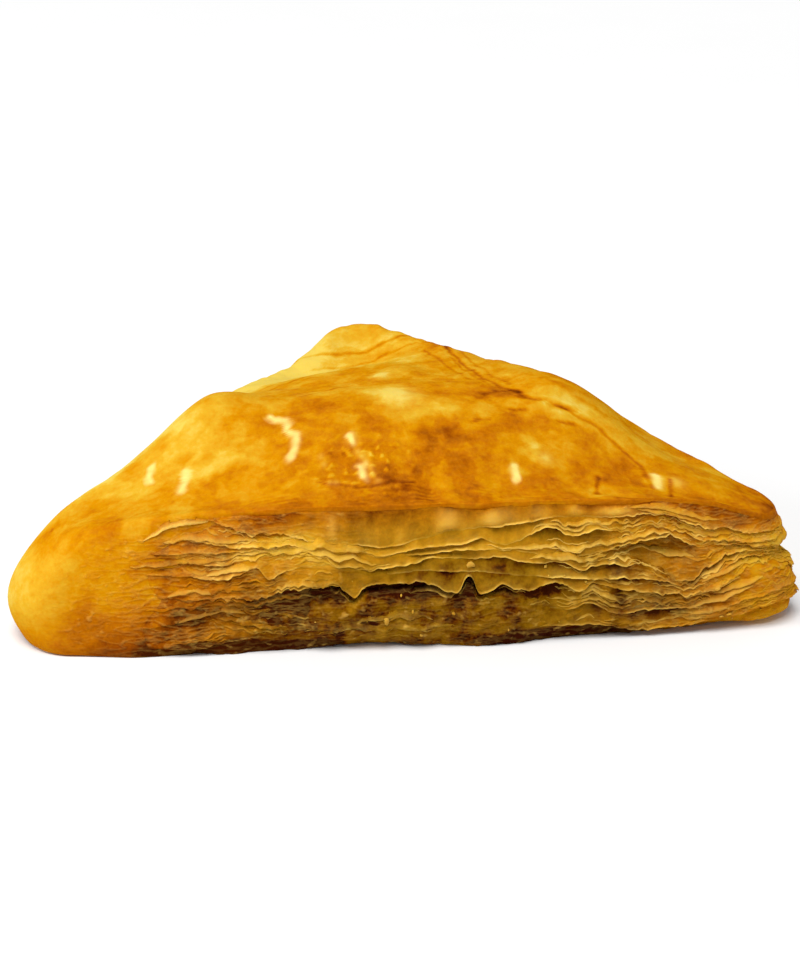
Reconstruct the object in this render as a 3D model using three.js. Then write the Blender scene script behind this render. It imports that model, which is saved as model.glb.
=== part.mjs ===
// A baked puff pastry triangle, filled and shut, as one solid.
// Its plan is a rounded triangle: a long open edge in front, and two shorter sides up to the rear corner.
// The top is a glazed pillow between flatter ears, and the sides are ledged by the dough's layers.
// Millimetres: X along the front edge, Y towards the rear corner, Z up from the surface that it lies on.
import * as THREE from "three";
import { mergeVertices } from "three/addons/utils/BufferGeometryUtils.js";

// Driving dimensions.
const LENGTH = 190;
const DEPTH = 97;
const EAR_HEIGHT = 30;
const PILLOW_HEIGHT = 21;
const FRONT_BULGE = 5.5;
const BULGE_POWER = 1.2;
const TUCK_SHARE = 0.25;
const LEAN_POWER = 1.5;
const SHOULDER = 13;
const BULGE_REACH = 5;

// Round corners of the plan, and how far back the front edge starts at its two ends.
const LEFT_RADIUS = 13.5;
const RIGHT_RADIUS = 10;
const REAR_RADIUS = 12;
const LEFT_SETBACK = 2;
const RIGHT_SETBACK = 3;
const REAR_OFFSET = -8;

// The corners counter-clockwise, and the plan's middle, which every row of the surface runs round.
const LEFT = { x: LEFT_RADIUS - LENGTH / 2, y: LEFT_SETBACK + LEFT_RADIUS, radius: LEFT_RADIUS };
const RIGHT = { x: LENGTH / 2 - RIGHT_RADIUS, y: RIGHT_SETBACK + RIGHT_RADIUS, radius: RIGHT_RADIUS };
const REAR = { x: REAR_OFFSET, y: DEPTH - REAR_RADIUS, radius: REAR_RADIUS };
const CORNERS = [LEFT, RIGHT, REAR];
const MIDDLE = new THREE.Vector2(-3, 38);

// Heights and insets at stations round the sides: [share of the side, millimetres].
// The front runs from the left corner, the right side from the right corner, the left side from the rear.
const RIM_HEIGHT = {
  front: [[0, 27], [0.12, 33], [0.3, 36], [0.58, 36.8], [0.74, 36], [0.88, 33.6]],
  right: [[0, 27.2], [0.08, 27.6], [0.2, 31.4], [0.5, 40.5], [0.75, 45]],
  left: [[0, 45.5], [0.2, 39], [0.38, 37], [0.53, 33.2], [0.72, 29.5]],
};
const EDGE_BULGE = {
  front: [[0, 0.5], [0.12, 0], [0.9, 0]],
  right: [[0, 0], [0.2, 1.8], [0.5, 3.6], [0.75, 5.8]],
  left: [[0, 7.2], [0.2, 5], [0.38, 4.5], [0.53, 1.5], [0.72, 2], [0.9, 2]],
};
const WALL_LEAN = {
  front: [[0, 12], [0.14, 6.5], [0.35, 3], [0.8, 3]],
  right: [[0, 6.8], [0.15, 4.8], [0.5, 5]],
  left: [[0, 7], [0.5, 6]],
};
const FOOT_LIFT = {
  front: [[0, 1.2], [0.1, 0.5], [0.17, 0], [0.34, 0], [0.42, 0.5], [0.52, 0.5], [0.62, 0], [0.85, 0],
    [0.93, 1.6]],
  right: [[0, 2.8], [0.1, 2], [0.3, 0], [0.8, 0]],
  left: [[0, 2], [0.2, 0], [0.8, 0], [0.92, 1]],
};
const FOOT_TUCK = {
  front: [[0, 5], [0.1, 3], [0.2, 1.2], [0.3, 1.5], [0.42, 5], [0.58, 2.5], [0.75, 3], [0.9, 2.5]],
  right: [[0, 0.3], [0.2, 4], [0.7, 4]],
  left: [[0, 4], [0.5, 4], [0.88, 4.5]],
};
// How far the layers stand open: shut under the glaze at the left corner, open along the front.
const LAYERS_OPEN = {
  front: [[0, 0], [0.14, 0.25], [0.3, 1], [0.85, 1]],
  right: [[0, 0.8], [0.5, 0.9]],
  left: [[0, 0.5], [0.5, 0.9], [0.85, 0.4]],
};

// Mounds that make up the crown over the ears: centre, half widths, height, edge power and turn in radians.
const MOUNDS = [
  { at: [-2, 42], size: [62, 42], height: PILLOW_HEIGHT, power: 1.5, turn: 0 },
  { at: [-12, 84], size: [18, 12], height: 4, power: 1, turn: 0 },
  { at: [42, 43], size: [22, 14], height: 10, power: 1, turn: -0.75 },
  { at: [-47, 40], size: [13, 12], height: 10, power: 1, turn: 0.7 },
  { at: [-14, 66], size: [24, 5], height: -3, power: 1, turn: 0.15 },
  { at: [74, 16], size: [19, 12], height: 3.5, power: 1, turn: 0 },
];

// Ledges of the sides: evenly stacked layers, and the seam between the upper and the lower sheet.
const LAYER_COUNT = 5;
const LAYER_DEPTH = 1.6;
const SEAM_DEPTH = 3;
const SEAM_SHARE = 0.37;
const SEAM_WIDTH = 0.06;
const LAYER_WANDER = [
  { waves: 3, share: 0.3, phase: 0.4 },
  { waves: 7, share: 0.22, phase: 2.1 },
  { waves: 13, share: 0.12, phase: 4.0 },
];

// The notch round the right corner between the upper and the lower packet of layers.
const NOTCH_SHARE = 0.6;
const NOTCH_WIDTH = 0.08;
const NOTCH_DEPTH = 2.4;
const NOTCH_REACH = 0.03;

// Rows of the surface from the middle of the base, up the wall and over the top.
const COLUMNS = 116;
const WALL_ROWS = 24;
const BASE_SHARES = [0, 0.5, 0.86];
const TOP_SHARES = [0.97, 0.93, 0.87, 0.79, 0.68, 0.55, 0.4, 0.22, 0];

// The direction of the outward normal of the straight side from one round corner to the next.
function sideNormal(from, to) {
  const run = new THREE.Vector2(to.x - from.x, to.y - from.y);
  return run.angle() - Math.acos((from.radius - to.radius) / run.length());
}

// The plan's outline as three arcs, each joined to the next by a straight side.
function planPath() {
  const path = new THREE.Path();
  CORNERS.forEach((corner, i) => {
    const before = CORNERS[(i + CORNERS.length - 1) % CORNERS.length];
    const after = CORNERS[(i + 1) % CORNERS.length];
    path.absarc(
      corner.x, corner.y, corner.radius,
      sideNormal(before, corner), sideNormal(corner, after),
    );
  });
  return path.closePath();
}

const path = planPath();
const lengths = path.getCurveLengths();
const perimeter = lengths.at(-1);
// Arcs and sides alternate along the path, and each corner's mark is the middle of its arc.
const cornerMarks = CORNERS.map((_, i) => {
  const arcStart = i === 0 ? 0 : lengths[2 * i - 1];
  return (arcStart + lengths[2 * i]) / 2 / perimeter;
});
const rightMark = cornerMarks[1] - cornerMarks[0];
const rearMark = cornerMarks[2] - cornerMarks[0];

// A point of the outline at share u of the way round, from the left corner, with the front edge bowed out.
function outlinePoint(u) {
  const point = path.getPoint((u + cornerMarks[0]) % 1);
  const along = Math.min(u / rightMark, 1);
  point.y -= FRONT_BULGE * Math.sin(Math.PI * along) ** BULGE_POWER;
  return point;
}

// A smooth function of u through stations given side by side, closed round the outline.
function roundTheSides({ front, right, left }) {
  const knots = [
    ...front.map(([share, value]) => [share * rightMark, value]),
    ...right.map(([share, value]) => [rightMark + share * (rearMark - rightMark), value]),
    ...left.map(([share, value]) => [rearMark + share * (1 - rearMark), value]),
  ];
  const knot = (i) => {
    const turns = Math.floor(i / knots.length);
    const [u, value] = knots[i - turns * knots.length];
    return [u + turns, value];
  };
  const slope = (i) => {
    const [u0, v0] = knot(i - 1);
    const [u1, v1] = knot(i + 1);
    return (v1 - v0) / (u1 - u0);
  };
  return (u) => {
    const i = knots.findLastIndex(([at]) => at <= u);
    const [u0, v0] = knot(i);
    const [u1, v1] = knot(i + 1);
    const span = u1 - u0;
    const t = (u - u0) / span;
    const smooth = t * t * (3 - 2 * t);
    return v0 * (1 - smooth) + v1 * smooth
      + span * t * (1 - t) * ((1 - t) * slope(i) - t * slope(i + 1));
  };
}

const rimHeight = roundTheSides(RIM_HEIGHT);
const edgeBulge = roundTheSides(EDGE_BULGE);
const wallLean = roundTheSides(WALL_LEAN);
const footLift = roundTheSides(FOOT_LIFT);
const footTuck = roundTheSides(FOOT_TUCK);
const layersOpen = roundTheSides(LAYERS_OPEN);

// A soft hump, 1 at its middle.
function hump(distance, width) {
  return Math.exp(-((distance / width) ** 2));
}

function moundHeight({ at, size, height, power, turn }, point) {
  const local = point.clone().sub(new THREE.Vector2(...at)).rotateAround(new THREE.Vector2(), -turn);
  return height * Math.exp(-(((local.x / size[0]) ** 2 + (local.y / size[1]) ** 2) ** power));
}

function crownHeight(point) {
  return MOUNDS.reduce((sum, mound) => sum + moundHeight(mound, point), EAR_HEIGHT);
}

// How far the wall stands inside the outline at share v of its height.
function wallInset(u, v) {
  const wander = LAYER_WANDER.reduce(
    (sum, { waves, share, phase }) => sum + share * Math.sin(2 * Math.PI * waves * u + phase), 0,
  );
  const layer = 0.5 - 0.5 * Math.cos(2 * Math.PI * (LAYER_COUNT * v + wander));
  const seam = hump(v - SEAM_SHARE, SEAM_WIDTH);
  const fade = Math.sin(Math.PI * v);
  const ledges = Math.max(layersOpen(u), 0) * fade * (LAYER_DEPTH * layer + SEAM_DEPTH * seam);
  const tuck = footTuck(u) * Math.max(1 - v / TUCK_SHARE, 0) ** 2;
  const notch = NOTCH_DEPTH * hump(u - rightMark, NOTCH_REACH) * hump(v - NOTCH_SHARE, NOTCH_WIDTH);
  return wallLean(u) * v ** LEAN_POWER + tuck + ledges + notch;
}

// Moves an outline point towards the middle of the plan.
function insetPoint(point, inset) {
  const reach = point.distanceTo(MIDDLE);
  return point.clone().lerp(MIDDLE, inset / reach);
}

function basePoint(u, share) {
  const foot = insetPoint(outlinePoint(u), wallInset(u, 0));
  const point = MIDDLE.clone().lerp(foot, share);
  return new THREE.Vector3(point.x, point.y, 0);
}

function wallPoint(u, v) {
  const point = insetPoint(outlinePoint(u), wallInset(u, v));
  const foot = Math.max(footLift(u), 0);
  return new THREE.Vector3(point.x, point.y, THREE.MathUtils.lerp(foot, rimHeight(u), v));
}

// The top swells from the rim to the crown within a shoulder's width, and it bulges just inside its rim.
function topPoint(u, share) {
  const rim = insetPoint(outlinePoint(u), wallInset(u, 1));
  const point = MIDDLE.clone().lerp(rim, share);
  const rise = (distance) => 1 - Math.exp(-distance / SHOULDER);
  const fromRim = point.distanceTo(rim);
  const swell = rise(fromRim) / rise(MIDDLE.distanceTo(rim));
  const reach = fromRim / BULGE_REACH;
  const bulge = share * Math.max(edgeBulge(u), 0) * reach * Math.exp(1 - reach);
  const height = THREE.MathUtils.lerp(rimHeight(u), crownHeight(point), swell) + bulge;
  return new THREE.Vector3(point.x, point.y, height);
}

const ROWS = [
  ...BASE_SHARES.map((share) => (u) => basePoint(u, share)),
  ...Array.from({ length: WALL_ROWS }, (_, i) => (u) => wallPoint(u, i / (WALL_ROWS - 1))),
  ...TOP_SHARES.map((share) => (u) => topPoint(u, share)),
];

// A closed lathe gives the grid of rows and columns, and each of its points is then set on the surface.
function pastryGeometry() {
  const profile = ROWS.map((_, row) => {
    const turn = (Math.PI * row) / (ROWS.length - 1);
    return new THREE.Vector2(Math.sin(turn), -Math.cos(turn));
  });
  const geometry = new THREE.LatheGeometry(profile, COLUMNS);
  const position = geometry.getAttribute("position");
  for (let i = 0; i < position.count; i++) {
    const column = Math.floor(i / ROWS.length) % COLUMNS;
    const point = ROWS[i % ROWS.length](column / COLUMNS);
    position.setXYZ(i, point.x, point.y, point.z);
  }
  geometry.deleteAttribute("normal");
  geometry.deleteAttribute("uv");
  const merged = mergeVertices(geometry);
  merged.computeBoundingBox();
  const centre = merged.boundingBox.getCenter(new THREE.Vector3());
  merged.translate(-centre.x, -centre.y, -merged.boundingBox.min.z);
  merged.computeVertexNormals();
  return merged;
}

const crust = new THREE.MeshStandardMaterial({ color: 0xe09a1a, roughness: 0.4, metalness: 0 });
const pastry = new THREE.Mesh(pastryGeometry(), crust);
pastry.name = "pastry";

const group = new THREE.Group();
group.add(pastry);

export default group;
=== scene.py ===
"""A cream bougatsa: a shut puff pastry triangle with a glazed golden top and flaky, layered sides.

The form follows the solid's own formulas in millimetres, at a finer grain. The crust is the browned top with
its edge, the dough is the body under it, thin sheets of dough stand open round the sides, and torn flakes and
crumbs lie on them.
"""
import math
from dataclasses import astuple, dataclass, replace

import bmesh
import bpy
import numpy as np
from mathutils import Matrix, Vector


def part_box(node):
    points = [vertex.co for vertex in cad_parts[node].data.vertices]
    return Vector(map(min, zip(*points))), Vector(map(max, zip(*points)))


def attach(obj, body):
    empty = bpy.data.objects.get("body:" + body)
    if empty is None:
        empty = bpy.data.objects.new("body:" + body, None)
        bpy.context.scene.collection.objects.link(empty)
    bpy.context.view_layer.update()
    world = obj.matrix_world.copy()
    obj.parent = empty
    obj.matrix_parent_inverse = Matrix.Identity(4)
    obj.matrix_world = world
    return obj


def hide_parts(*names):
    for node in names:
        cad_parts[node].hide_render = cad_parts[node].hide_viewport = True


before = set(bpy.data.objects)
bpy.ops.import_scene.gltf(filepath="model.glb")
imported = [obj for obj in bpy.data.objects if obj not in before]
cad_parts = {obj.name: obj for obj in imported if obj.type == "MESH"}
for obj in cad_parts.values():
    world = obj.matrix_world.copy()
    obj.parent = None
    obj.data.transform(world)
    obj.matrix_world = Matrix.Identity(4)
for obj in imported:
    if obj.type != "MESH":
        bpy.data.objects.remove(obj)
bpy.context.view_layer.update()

MM = 0.001

# Sizes of the form, in millimetres.
LENGTH = 190
DEPTH = 97
EAR_HEIGHT = 30
PILLOW_HEIGHT = 21
FRONT_BULGE = 5.5
BULGE_POWER = 1.2
TUCK_SHARE = 0.25
LEAN_POWER = 1.5
SHOULDER = 13
BULGE_REACH = 5

# Round corners of the plan: centre x, centre y and radius, counter-clockwise.
LEFT = (13.5 - LENGTH / 2, 15.5, 13.5)
RIGHT = (LENGTH / 2 - 10, 13, 10)
REAR = (-8, DEPTH - 12, 12)
MIDDLE = np.array([-3.0, 38.0])
ARC_STEPS = 61
NORMAL_STEP = 0.002

# Heights and insets at stations round the sides, as (share of the side, millimetres): in front from the left
# corner, then along the right side to the rear corner, then back along the left side.
RIM_HEIGHT = [
    [(0, 27), (0.12, 33), (0.3, 36), (0.58, 36.8), (0.74, 36), (0.88, 33.6)],
    [(0, 27.2), (0.08, 27.6), (0.2, 31.4), (0.5, 40.5), (0.75, 45)],
    [(0, 45.5), (0.2, 39), (0.38, 37), (0.53, 33.2), (0.72, 29.5)],
]
EDGE_BULGE = [
    [(0, 0.5), (0.12, 0), (0.9, 0)],
    [(0, 0), (0.2, 1.8), (0.5, 3.6), (0.75, 5.8)],
    [(0, 7.2), (0.2, 5), (0.38, 4.5), (0.53, 1.5), (0.72, 2), (0.9, 2)],
]
WALL_LEAN = [
    [(0, 12), (0.14, 6.5), (0.35, 3), (0.8, 3)],
    [(0, 6.8), (0.15, 4.8), (0.5, 5)],
    [(0, 7), (0.5, 6)],
]
FOOT_LIFT = [
    [(0, 1.2), (0.05, 0.7), (0.1, 0.5), (0.17, 0), (0.34, 0), (0.42, 0.5), (0.52, 0.5), (0.62, 0),
     (0.85, 0), (0.93, 1.6)],
    [(0, 2.8), (0.1, 2), (0.3, 0), (0.8, 0)],
    [(0, 2), (0.2, 0), (0.8, 0), (0.92, 1)],
]
FOOT_TUCK = [
    [(0, 5), (0.1, 3), (0.2, 1.2), (0.3, 1.5), (0.42, 5), (0.48, 4), (0.58, 2.5), (0.75, 3), (0.9, 2.5)],
    [(0, 0.3), (0.2, 4), (0.7, 4)],
    [(0, 4), (0.5, 4), (0.88, 4.5)],
]
# Shares from 0 to 1 at such stations. How far the layers stand open: shut at the left corner, open in front.
LAYERS_OPEN = [
    [(0, 0), (0.08, 0.05), (0.17, 0.2), (0.26, 0.55), (0.35, 1), (0.86, 1), (0.94, 0.7)],
    [(0, 0.5), (0.08, 0.6), (0.2, 1), (0.85, 1)],
    [(0, 0.6), (0.12, 1), (0.58, 1), (0.72, 0.3), (0.82, 0)],
]
# The smooth nose at the left corner, where the crust goes on down the wall.
NOSE = [
    [(0, 1), (0.06, 1), (0.12, 0.6), (0.19, 0), (0.9, 0)],
    [(0, 0), (0.5, 0)],
    [(0, 0), (0.62, 0), (0.74, 0.6), (0.82, 1), (0.92, 1)],
]
# How far the crust sinks behind the sheets, and how far down it reaches there.
CRUST_SINKS = [
    [(0, 0), (0.1, 0), (0.16, 0), (0.27, 1), (0.9, 1)],
    [(0, 1), (0.5, 1)],
    [(0, 1), (0.54, 1), (0.7, 0), (0.9, 0)],
]
CRUST_COVER = [
    [(0, 1), (0.1, 1), (0.24, 1), (0.33, 0), (0.9, 0)],
    [(0, 0), (0.4, 0)],
    [(0, 0), (0.46, 0), (0.54, 1), (0.9, 1)],
]
# Where short flakes stand on the sheets, from none to many.
FLAKES_SHOW = [
    [(0, 0), (0.12, 0.05), (0.18, 0.3), (0.25, 0.75), (0.31, 0.8), (0.38, 0.3), (0.46, 0.06), (0.66, 0.08),
     (0.76, 0.5), (0.85, 1)],
    [(0, 1), (0.12, 1), (0.5, 0.6)],
    [(0, 0.6), (0.5, 0.6), (0.85, 0.4)],
]
# How crinkled the sides are.
CRINKLED = [
    [(0, 0.14), (0.08, 0.18), (0.13, 0.4), (0.19, 0.9), (0.32, 0.9), (0.42, 0.25), (0.74, 0.25),
     (0.84, 0.8), (0.95, 1)],
    [(0, 1), (0.2, 0.7), (0.6, 0.6)],
    [(0, 0.6), (0.5, 0.6), (0.75, 0.5), (0.92, 0.2)],
]
# How much of the crust's golden glaze the sides have.
WALL_GLAZE = [
    [(0, 1), (0.23, 1), (0.3, 0.75), (0.36, 0.35), (0.44, 0.1), (0.74, 0.2), (0.83, 0.6), (0.92, 0.9)],
    [(0, 0.8), (0.25, 0.6), (0.6, 0.5)],
    [(0, 0.5), (0.4, 0.4), (0.75, 0.7), (0.9, 1)],
]
# Where the dough swells out under the hem and buries the lowest sheets.
LOWER_SWELL = [
    [(0, 0.1), (0.2, 0.1), (0.31, 0.6), (0.42, 1), (0.62, 1), (0.73, 0.3), (0.9, 0.1)],
    [(0, 0.1), (0.3, 0.5), (0.6, 0.2)],
    [(0, 0.3), (0.35, 0.6), (0.7, 0.2)],
]
# How pale the torn lips are: glazed over at the left, and pale from there on.
LIPS_PALE = [
    [(0, 0.05), (0.19, 0.1), (0.24, 0.4), (0.29, 1), (0.82, 1), (0.93, 0.5)],
    [(0, 0.4), (0.15, 0.6), (0.8, 0.6)],
    [(0, 0.6), (0.5, 0.6), (0.75, 0.2), (0.9, 0.05)],
]

# The nose swells out of the wall, most of all low down.
NOSE_SWELL = 5.2
NOSE_DROOP = 0.38
# The notch round the right corner between the upper and the lower packet of layers.
NOTCH_SHARE = 0.6
NOTCH_WIDTH = 0.08
NOTCH_DEPTH = 2.4
NOTCH_REACH = 0.03

# Mounds that make up the crown over the ears: centre, half widths, height, edge power and turn in radians.
MOUNDS = [
    ((-2, 42), (62, 42), PILLOW_HEIGHT, 1.5, 0),
    ((-12, 84), (18, 12), 4, 1, 0),
    ((42, 43), (22, 14), 10, 1, -0.75),
    ((-47, 40), (13, 12), 10, 1, 0.7),
    ((-14, 66), (24, 5), -3, 1, 0.15),
    ((74, 16), (19, 12), 3.5, 1, 0),
]
# Creases of the top: points of the plan, half width and depth.
CREASES = [
    ([(-34, 66), (-24, 75), (-13, 74), (0, 74.5), (12.6, 76)], 0.8, 0.5),
    ([(-38, 58), (-24, 67), (-8, 69), (8, 71)], 0.5, 0.25),
    ([(12.4, 74.7), (14.4, 70.5), (18.1, 56.3), (21.7, 44.4), (25.6, 37.1), (30, 33.5)], 0.6, 0.5),
    ([(17, 71), (20.5, 57), (24.5, 45), (28, 38)], 0.45, 0.35),
    ([(10, 66), (14.5, 54), (19, 43)], 0.45, 0.25),
    ([(16, 60), (19.6, 47), (23.4, 38), (27, 34)], 0.4, 0.35),
    ([(29.7, 32.4), (40, 29.2), (47.9, 25.2), (56.6, 17.6), (58.5, 10)], 0.6, 0.4),
    ([(-44, 40), (-34, 47), (-21, 55)], 0.5, 0.25),
    ([(-40, 46), (-30, 53), (-20, 59)], 0.5, 0.25),
    ([(-22, 37), (-16, 40), (-10, 42)], 0.5, 0.2),
    ([(36, 29.2), (42, 29.4)], 0.6, 0.4),
    ([(37.5, 25), (42.5, 25.4)], 0.6, 0.4),
    ([(26, 28.2), (31, 28)], 0.6, 0.4),
    ([(16.8, 23.3), (21, 24.3)], 0.6, 0.3),
    ([(44.5, 5), (45.2, 11.5)], 0.7, 0.5),
    ([(62, 6), (63, 13)], 0.7, 0.5),
    ([(-20, 8), (-11, 6), (2, 7)], 0.5, 0.25),
]
# Blisters of the glaze: place in the plan, radius and height.
BLISTERS = [
    (33.5, 15, 1.7, 0.5), (1, 33, 4, 0.6), (-2.6, 46.7, 2, 0.5), (64.5, 13, 1.6, 0.6),
    (-11.5, 18.8, 1.3, 0.6), (-19, 14.9, 0.7, 0.4), (-18.4, 12.6, 0.7, 0.4), (-17.4, 7.5, 0.7, 0.4),
    (-16, 7.5, 0.7, 0.4), (-10.4, 15.6, 0.8, 0.4), (-9.6, 13.9, 0.8, 0.45), (-8.8, 12.6, 0.8, 0.4),
    (-9.5, 9.3, 0.9, 0.5), (-7.4, 9, 0.8, 0.45), (-6.3, 7.1, 0.8, 0.4), (-7.7, 10.7, 0.8, 0.4),
]
# Runs of thick glossy glaze, raised, each with a painted highlight on it: points of the plan.
GLAZE_RUNS_AND_GLINTS = [
    [(-30, 28.5), (-26.6, 26.6), (-26.4, 23.2), (-24.2, 21.3), (-24.8, 18.8), (-25.9, 15.8)],
    [(-11.9, 19.8), (-11.2, 18)], [(-9.8, 11.5), (-9.4, 8.6)], [(-58.8, 25.2), (-58.8, 21)],
    [(-50.5, 18.6), (-51.3, 13.9)], [(26, 11.5), (25.7, 8.3)], [(59.8, 14.6), (59.4, 11.4)],
]
# Patches of the top that are browner or paler: place in the plan, half widths and change of browning. A few
# paler ones are painted light, as marked.
PATCHES = [
    (-15, 16, 5, 5, 0.12), (-8, 10.5, 8, 5, 0.16), (-2, 8, 8, 4, 0.16), (9, 18, 8, 5, 0.17),
    (15.5, 11.5, 9, 4, 0.13), (24, 12.5, 7, 3, 0.08), (50, 14, 7, 6, 0.25), (79, 13, 11, 8, 0.1),
    (20.5, 34, 3, 1.8, 0.3), (27, 34, 3, 1.8, 0.4), (30, 31.5, 3, 2, 0.3), (28.5, 23.5, 6, 2, 0.1),
    (16.5, 42, 4, 3, 0.12), (16, 68, 8, 4, 0.18), (-20, 28, 10, 7, 0.1), (0, 3, 20, 5, 0.08),
    # The first patch here is paler as painted light in the shaded valley before the rear lobe.
    (-14, 62, 26, 6, -0.32), (-30, 45, 28, 22, -0.09), (-66, 11, 22, 6, -0.09), (-84, 26, 14, 8, -0.12),
    # The first two patches here are paler as painted glare along the left flank and on the nose.
    (-64, 29, 16, 6, -0.14), (-86, 27, 5, 4, -0.25), (-1, 34.5, 6, 5, -0.37), (5, 25.5, 4, 3, -0.22),
    (10, 27.5, 4, 2.5, -0.2), (-2.5, 46.5, 2.5, 2, -0.3), (-48.5, 29, 6, 9, -0.27),
    (-45.5, 18, 7, 2, -0.25), (-37.5, 18, 5, 2, -0.18), (-14, 78, 24, 11, -0.3), (36, 52, 26, 14, -0.11),
    (-48, 36, 26, 18, -0.07), (62, 26, 26, 12, -0.1), (36, 32, 7, 3.5, -0.25), (44, 29.5, 6, 3, -0.22),
    (30.5, 17.5, 1.5, 4, -0.28), (26.5, 10, 1.5, 2.5, -0.3), (59.5, 13, 2, 3, -0.3), (-60, 20, 6, 5, -0.2),
]

# Lower edges of the open sheets along the front, from the top down: (x, height) in millimetres.
LIPS = {
    "curtain": [(-63, 29.5), (-55, 33), (-49, 33.4), (-44, 32.4), (-37, 30.8), (-33, 30.5), (-22, 29),
                (-11, 27), (-6, 26.6), (3, 28.5), (9, 29.8), (23, 30.6), (34, 32), (52, 31.2), (60, 31.5),
                (70, 28), (80, 26)],
    "cells": [(-62, 27), (-53, 28.7), (-48, 27.8), (-34, 27.3), (-18, 27.2), (-6, 24.7), (3, 26.1),
              (13, 27), (17, 28), (21, 26), (26, 27), (34, 30), (38.5, 27.4), (46, 29), (53, 27), (58, 29),
              (64, 26.7), (69, 25), (80, 23.5)],
    "arch": [(-62, 25.5), (-40, 26), (-20, 25.8), (0, 24.5), (16, 25.5), (26, 24.3), (38, 22), (46, 23),
             (51, 24.5), (56, 25.3), (60, 25.6), (65, 25), (69, 22.8), (75, 22), (81, 22)],
    "ridge": [(-54, 23.3), (-43, 23), (-36, 24.4), (-32, 25.5), (-25, 25.3), (-21, 24.4), (-14.6, 21.8),
              (-5, 21.8), (1, 22.7), (7, 23.9), (13, 23), (22, 23.2), (29, 21.4), (36, 21), (41, 19.2),
              (46, 19.6), (52, 19.3), (59, 17.3), (67, 14), (72, 16.6), (76, 19.2), (83, 20.5)],
    "under": [(-54, 20.5), (-47, 19.7), (-43, 19.7), (-39, 21.4), (-35, 21.8), (-33, 19.3), (-30, 21.2),
              (-25, 22.3), (-20, 22.5), (-10, 20.5), (10, 20.5), (30, 18), (46, 16.5), (60, 15), (67, 13),
              (75, 16), (83, 19)],
    "hem": [(-57, 15), (-37, 15), (-27, 16.6), (-19, 18.2), (-15, 16.8), (-12.9, 14.6), (-10.5, 16.6),
            (-6, 17.3), (6, 17.2), (9.6, 15.6), (12.2, 16), (13.2, 18.2), (15, 18.4), (15.8, 16), (19, 15),
            (22.3, 16.2), (25, 15.3), (31.5, 15.4), (35.2, 16), (40.7, 13.8), (43, 15), (50, 13.2),
            (58, 12.4), (65, 10.2), (71, 11), (77, 13.6), (84, 17)],
    "low": [(-55, 8.6), (-43, 11.2), (-41, 10), (-30, 7.8), (0, 7.5), (31, 9.5), (39, 8.7), (41.5, 10.2),
            (48, 7.8), (61, 7.6), (75, 7), (82, 8.5), (88, 10)],
    "bottom": [(-64, 3), (-54, 2.2), (-36, 4.2), (-26, 4.4), (0, 2.5), (23, 2.7), (34, 4.3), (42, 4.3),
               (58, 2.3), (69, 3), (78, 4.2), (87, 6.8)],
}
LIP_NAMES = list(LIPS)
HEM = LIP_NAMES.index("hem")
# How far each lip stands out over the sheet under it, from the top down.
OVERHANG = dict(zip(LIPS, (0.7, 0.9, 1, 1.3, 0.5, 1.1, 0.8, 0.7)))
# Places in front where a lip stands out further: x, half width and added depth.
GAPS = {
    "cells": [(34, 5, 0.8)],
    "arch": [(60, 8, 3.5)],
    "ridge": [(46, 6, 1.2), (-2, 8, 0.8)],
    "hem": [(-19, 4, 2.2), (-3, 9, 0.6), (13.8, 2, 2.5), (22, 4, 0.7), (36, 7, 1.2)],
    "low": [(-42, 5, 1.2), (42, 4, 1.5), (64, 6, 0.9)],
    "bottom": [(36, 12, 1.5), (-42, 10, 1.2)],
}
# Lips that are more torn than the others, and lips that are less pale.
TORN = {"hem": 1.9, "cells": 1.3, "ridge": 1.3}
PALENESS = {"hem": 0.55, "low": 0.45, "bottom": 0.45}
# The two lowest lips, which lie under the swollen dough in places.
LOW_LIPS = ("low", "bottom")
# Pale rounded pleats of the first sheet along the front: x, half width and how much they show.
PLEATS = [
    (-18.5, 1.2, 0.5), (9.5, 2.6, 0.8), (20.3, 3, 1), (31, 2.5, 0.3), (40, 2, 0.5), (50, 3.4, 0.8),
    (63, 2, 0.4),
]

# Noise over a plane: cells of its lattice, the cosine and sine of the lattice's turn, and gain.
NOISE_CELLS = 64
NOISE_COS = 0.8
NOISE_SIN = 0.6
NOISE_GAIN = 1.5


def rises(low, high, value):
    """A smooth rise from 0 at low to 1 at high."""
    share = np.clip((value - low) / (high - low), 0, 1)
    return share * share * (3 - 2 * share)


def fades(low, high, value):
    """A smooth fall from 1 at low to 0 at high."""
    return 1 - rises(low, high, value)


def bell(middle, half, value):
    """1 at the middle, with a soft fall to 0 on both sides."""
    return np.exp(-((value - middle) / half) ** 2)


def plateau(middle, half, value):
    """1 round the middle, with a steep fall to 0 on both sides."""
    return np.exp(-((value - middle) / half) ** 4)


def spot(x, y, middle_x, middle_y, wide, deep):
    """A soft round spot, 1 at its middle."""
    return bell(middle_x, wide, x) * bell(middle_y, deep, y)


def closed_curve(knots):
    """A smooth closed function of u through (u, value) knots."""
    at, values = np.array(sorted(knots), float).T
    at = np.concatenate([at[-2:] - 1, at, at[:2] + 1])
    values = np.concatenate([values[-2:], values, values[:2]])
    slopes = np.gradient(values, at)

    def curve(u):
        i = np.clip(np.searchsorted(at, u, side="right") - 1, 1, len(at) - 3)
        span = at[i + 1] - at[i]
        t = (u - at[i]) / span
        smooth = t * t * (3 - 2 * t)
        turn = span * t * (1 - t) * ((1 - t) * slopes[i] - t * slopes[i + 1])
        return values[i] * (1 - smooth) + values[i + 1] * smooth + turn

    return curve


def ring_noise(u, waves, seed):
    """Smooth noise round the outline, from -1 to 1, with about that many waves."""
    count = 2 * waves
    values = np.random.default_rng(seed).uniform(-1, 1, count)
    place = (u % 1) * count
    index = np.floor(place).astype(int)
    blend = rises(0, 1, place - index)
    return values[index % count] * (1 - blend) + values[(index + 1) % count] * blend


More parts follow.
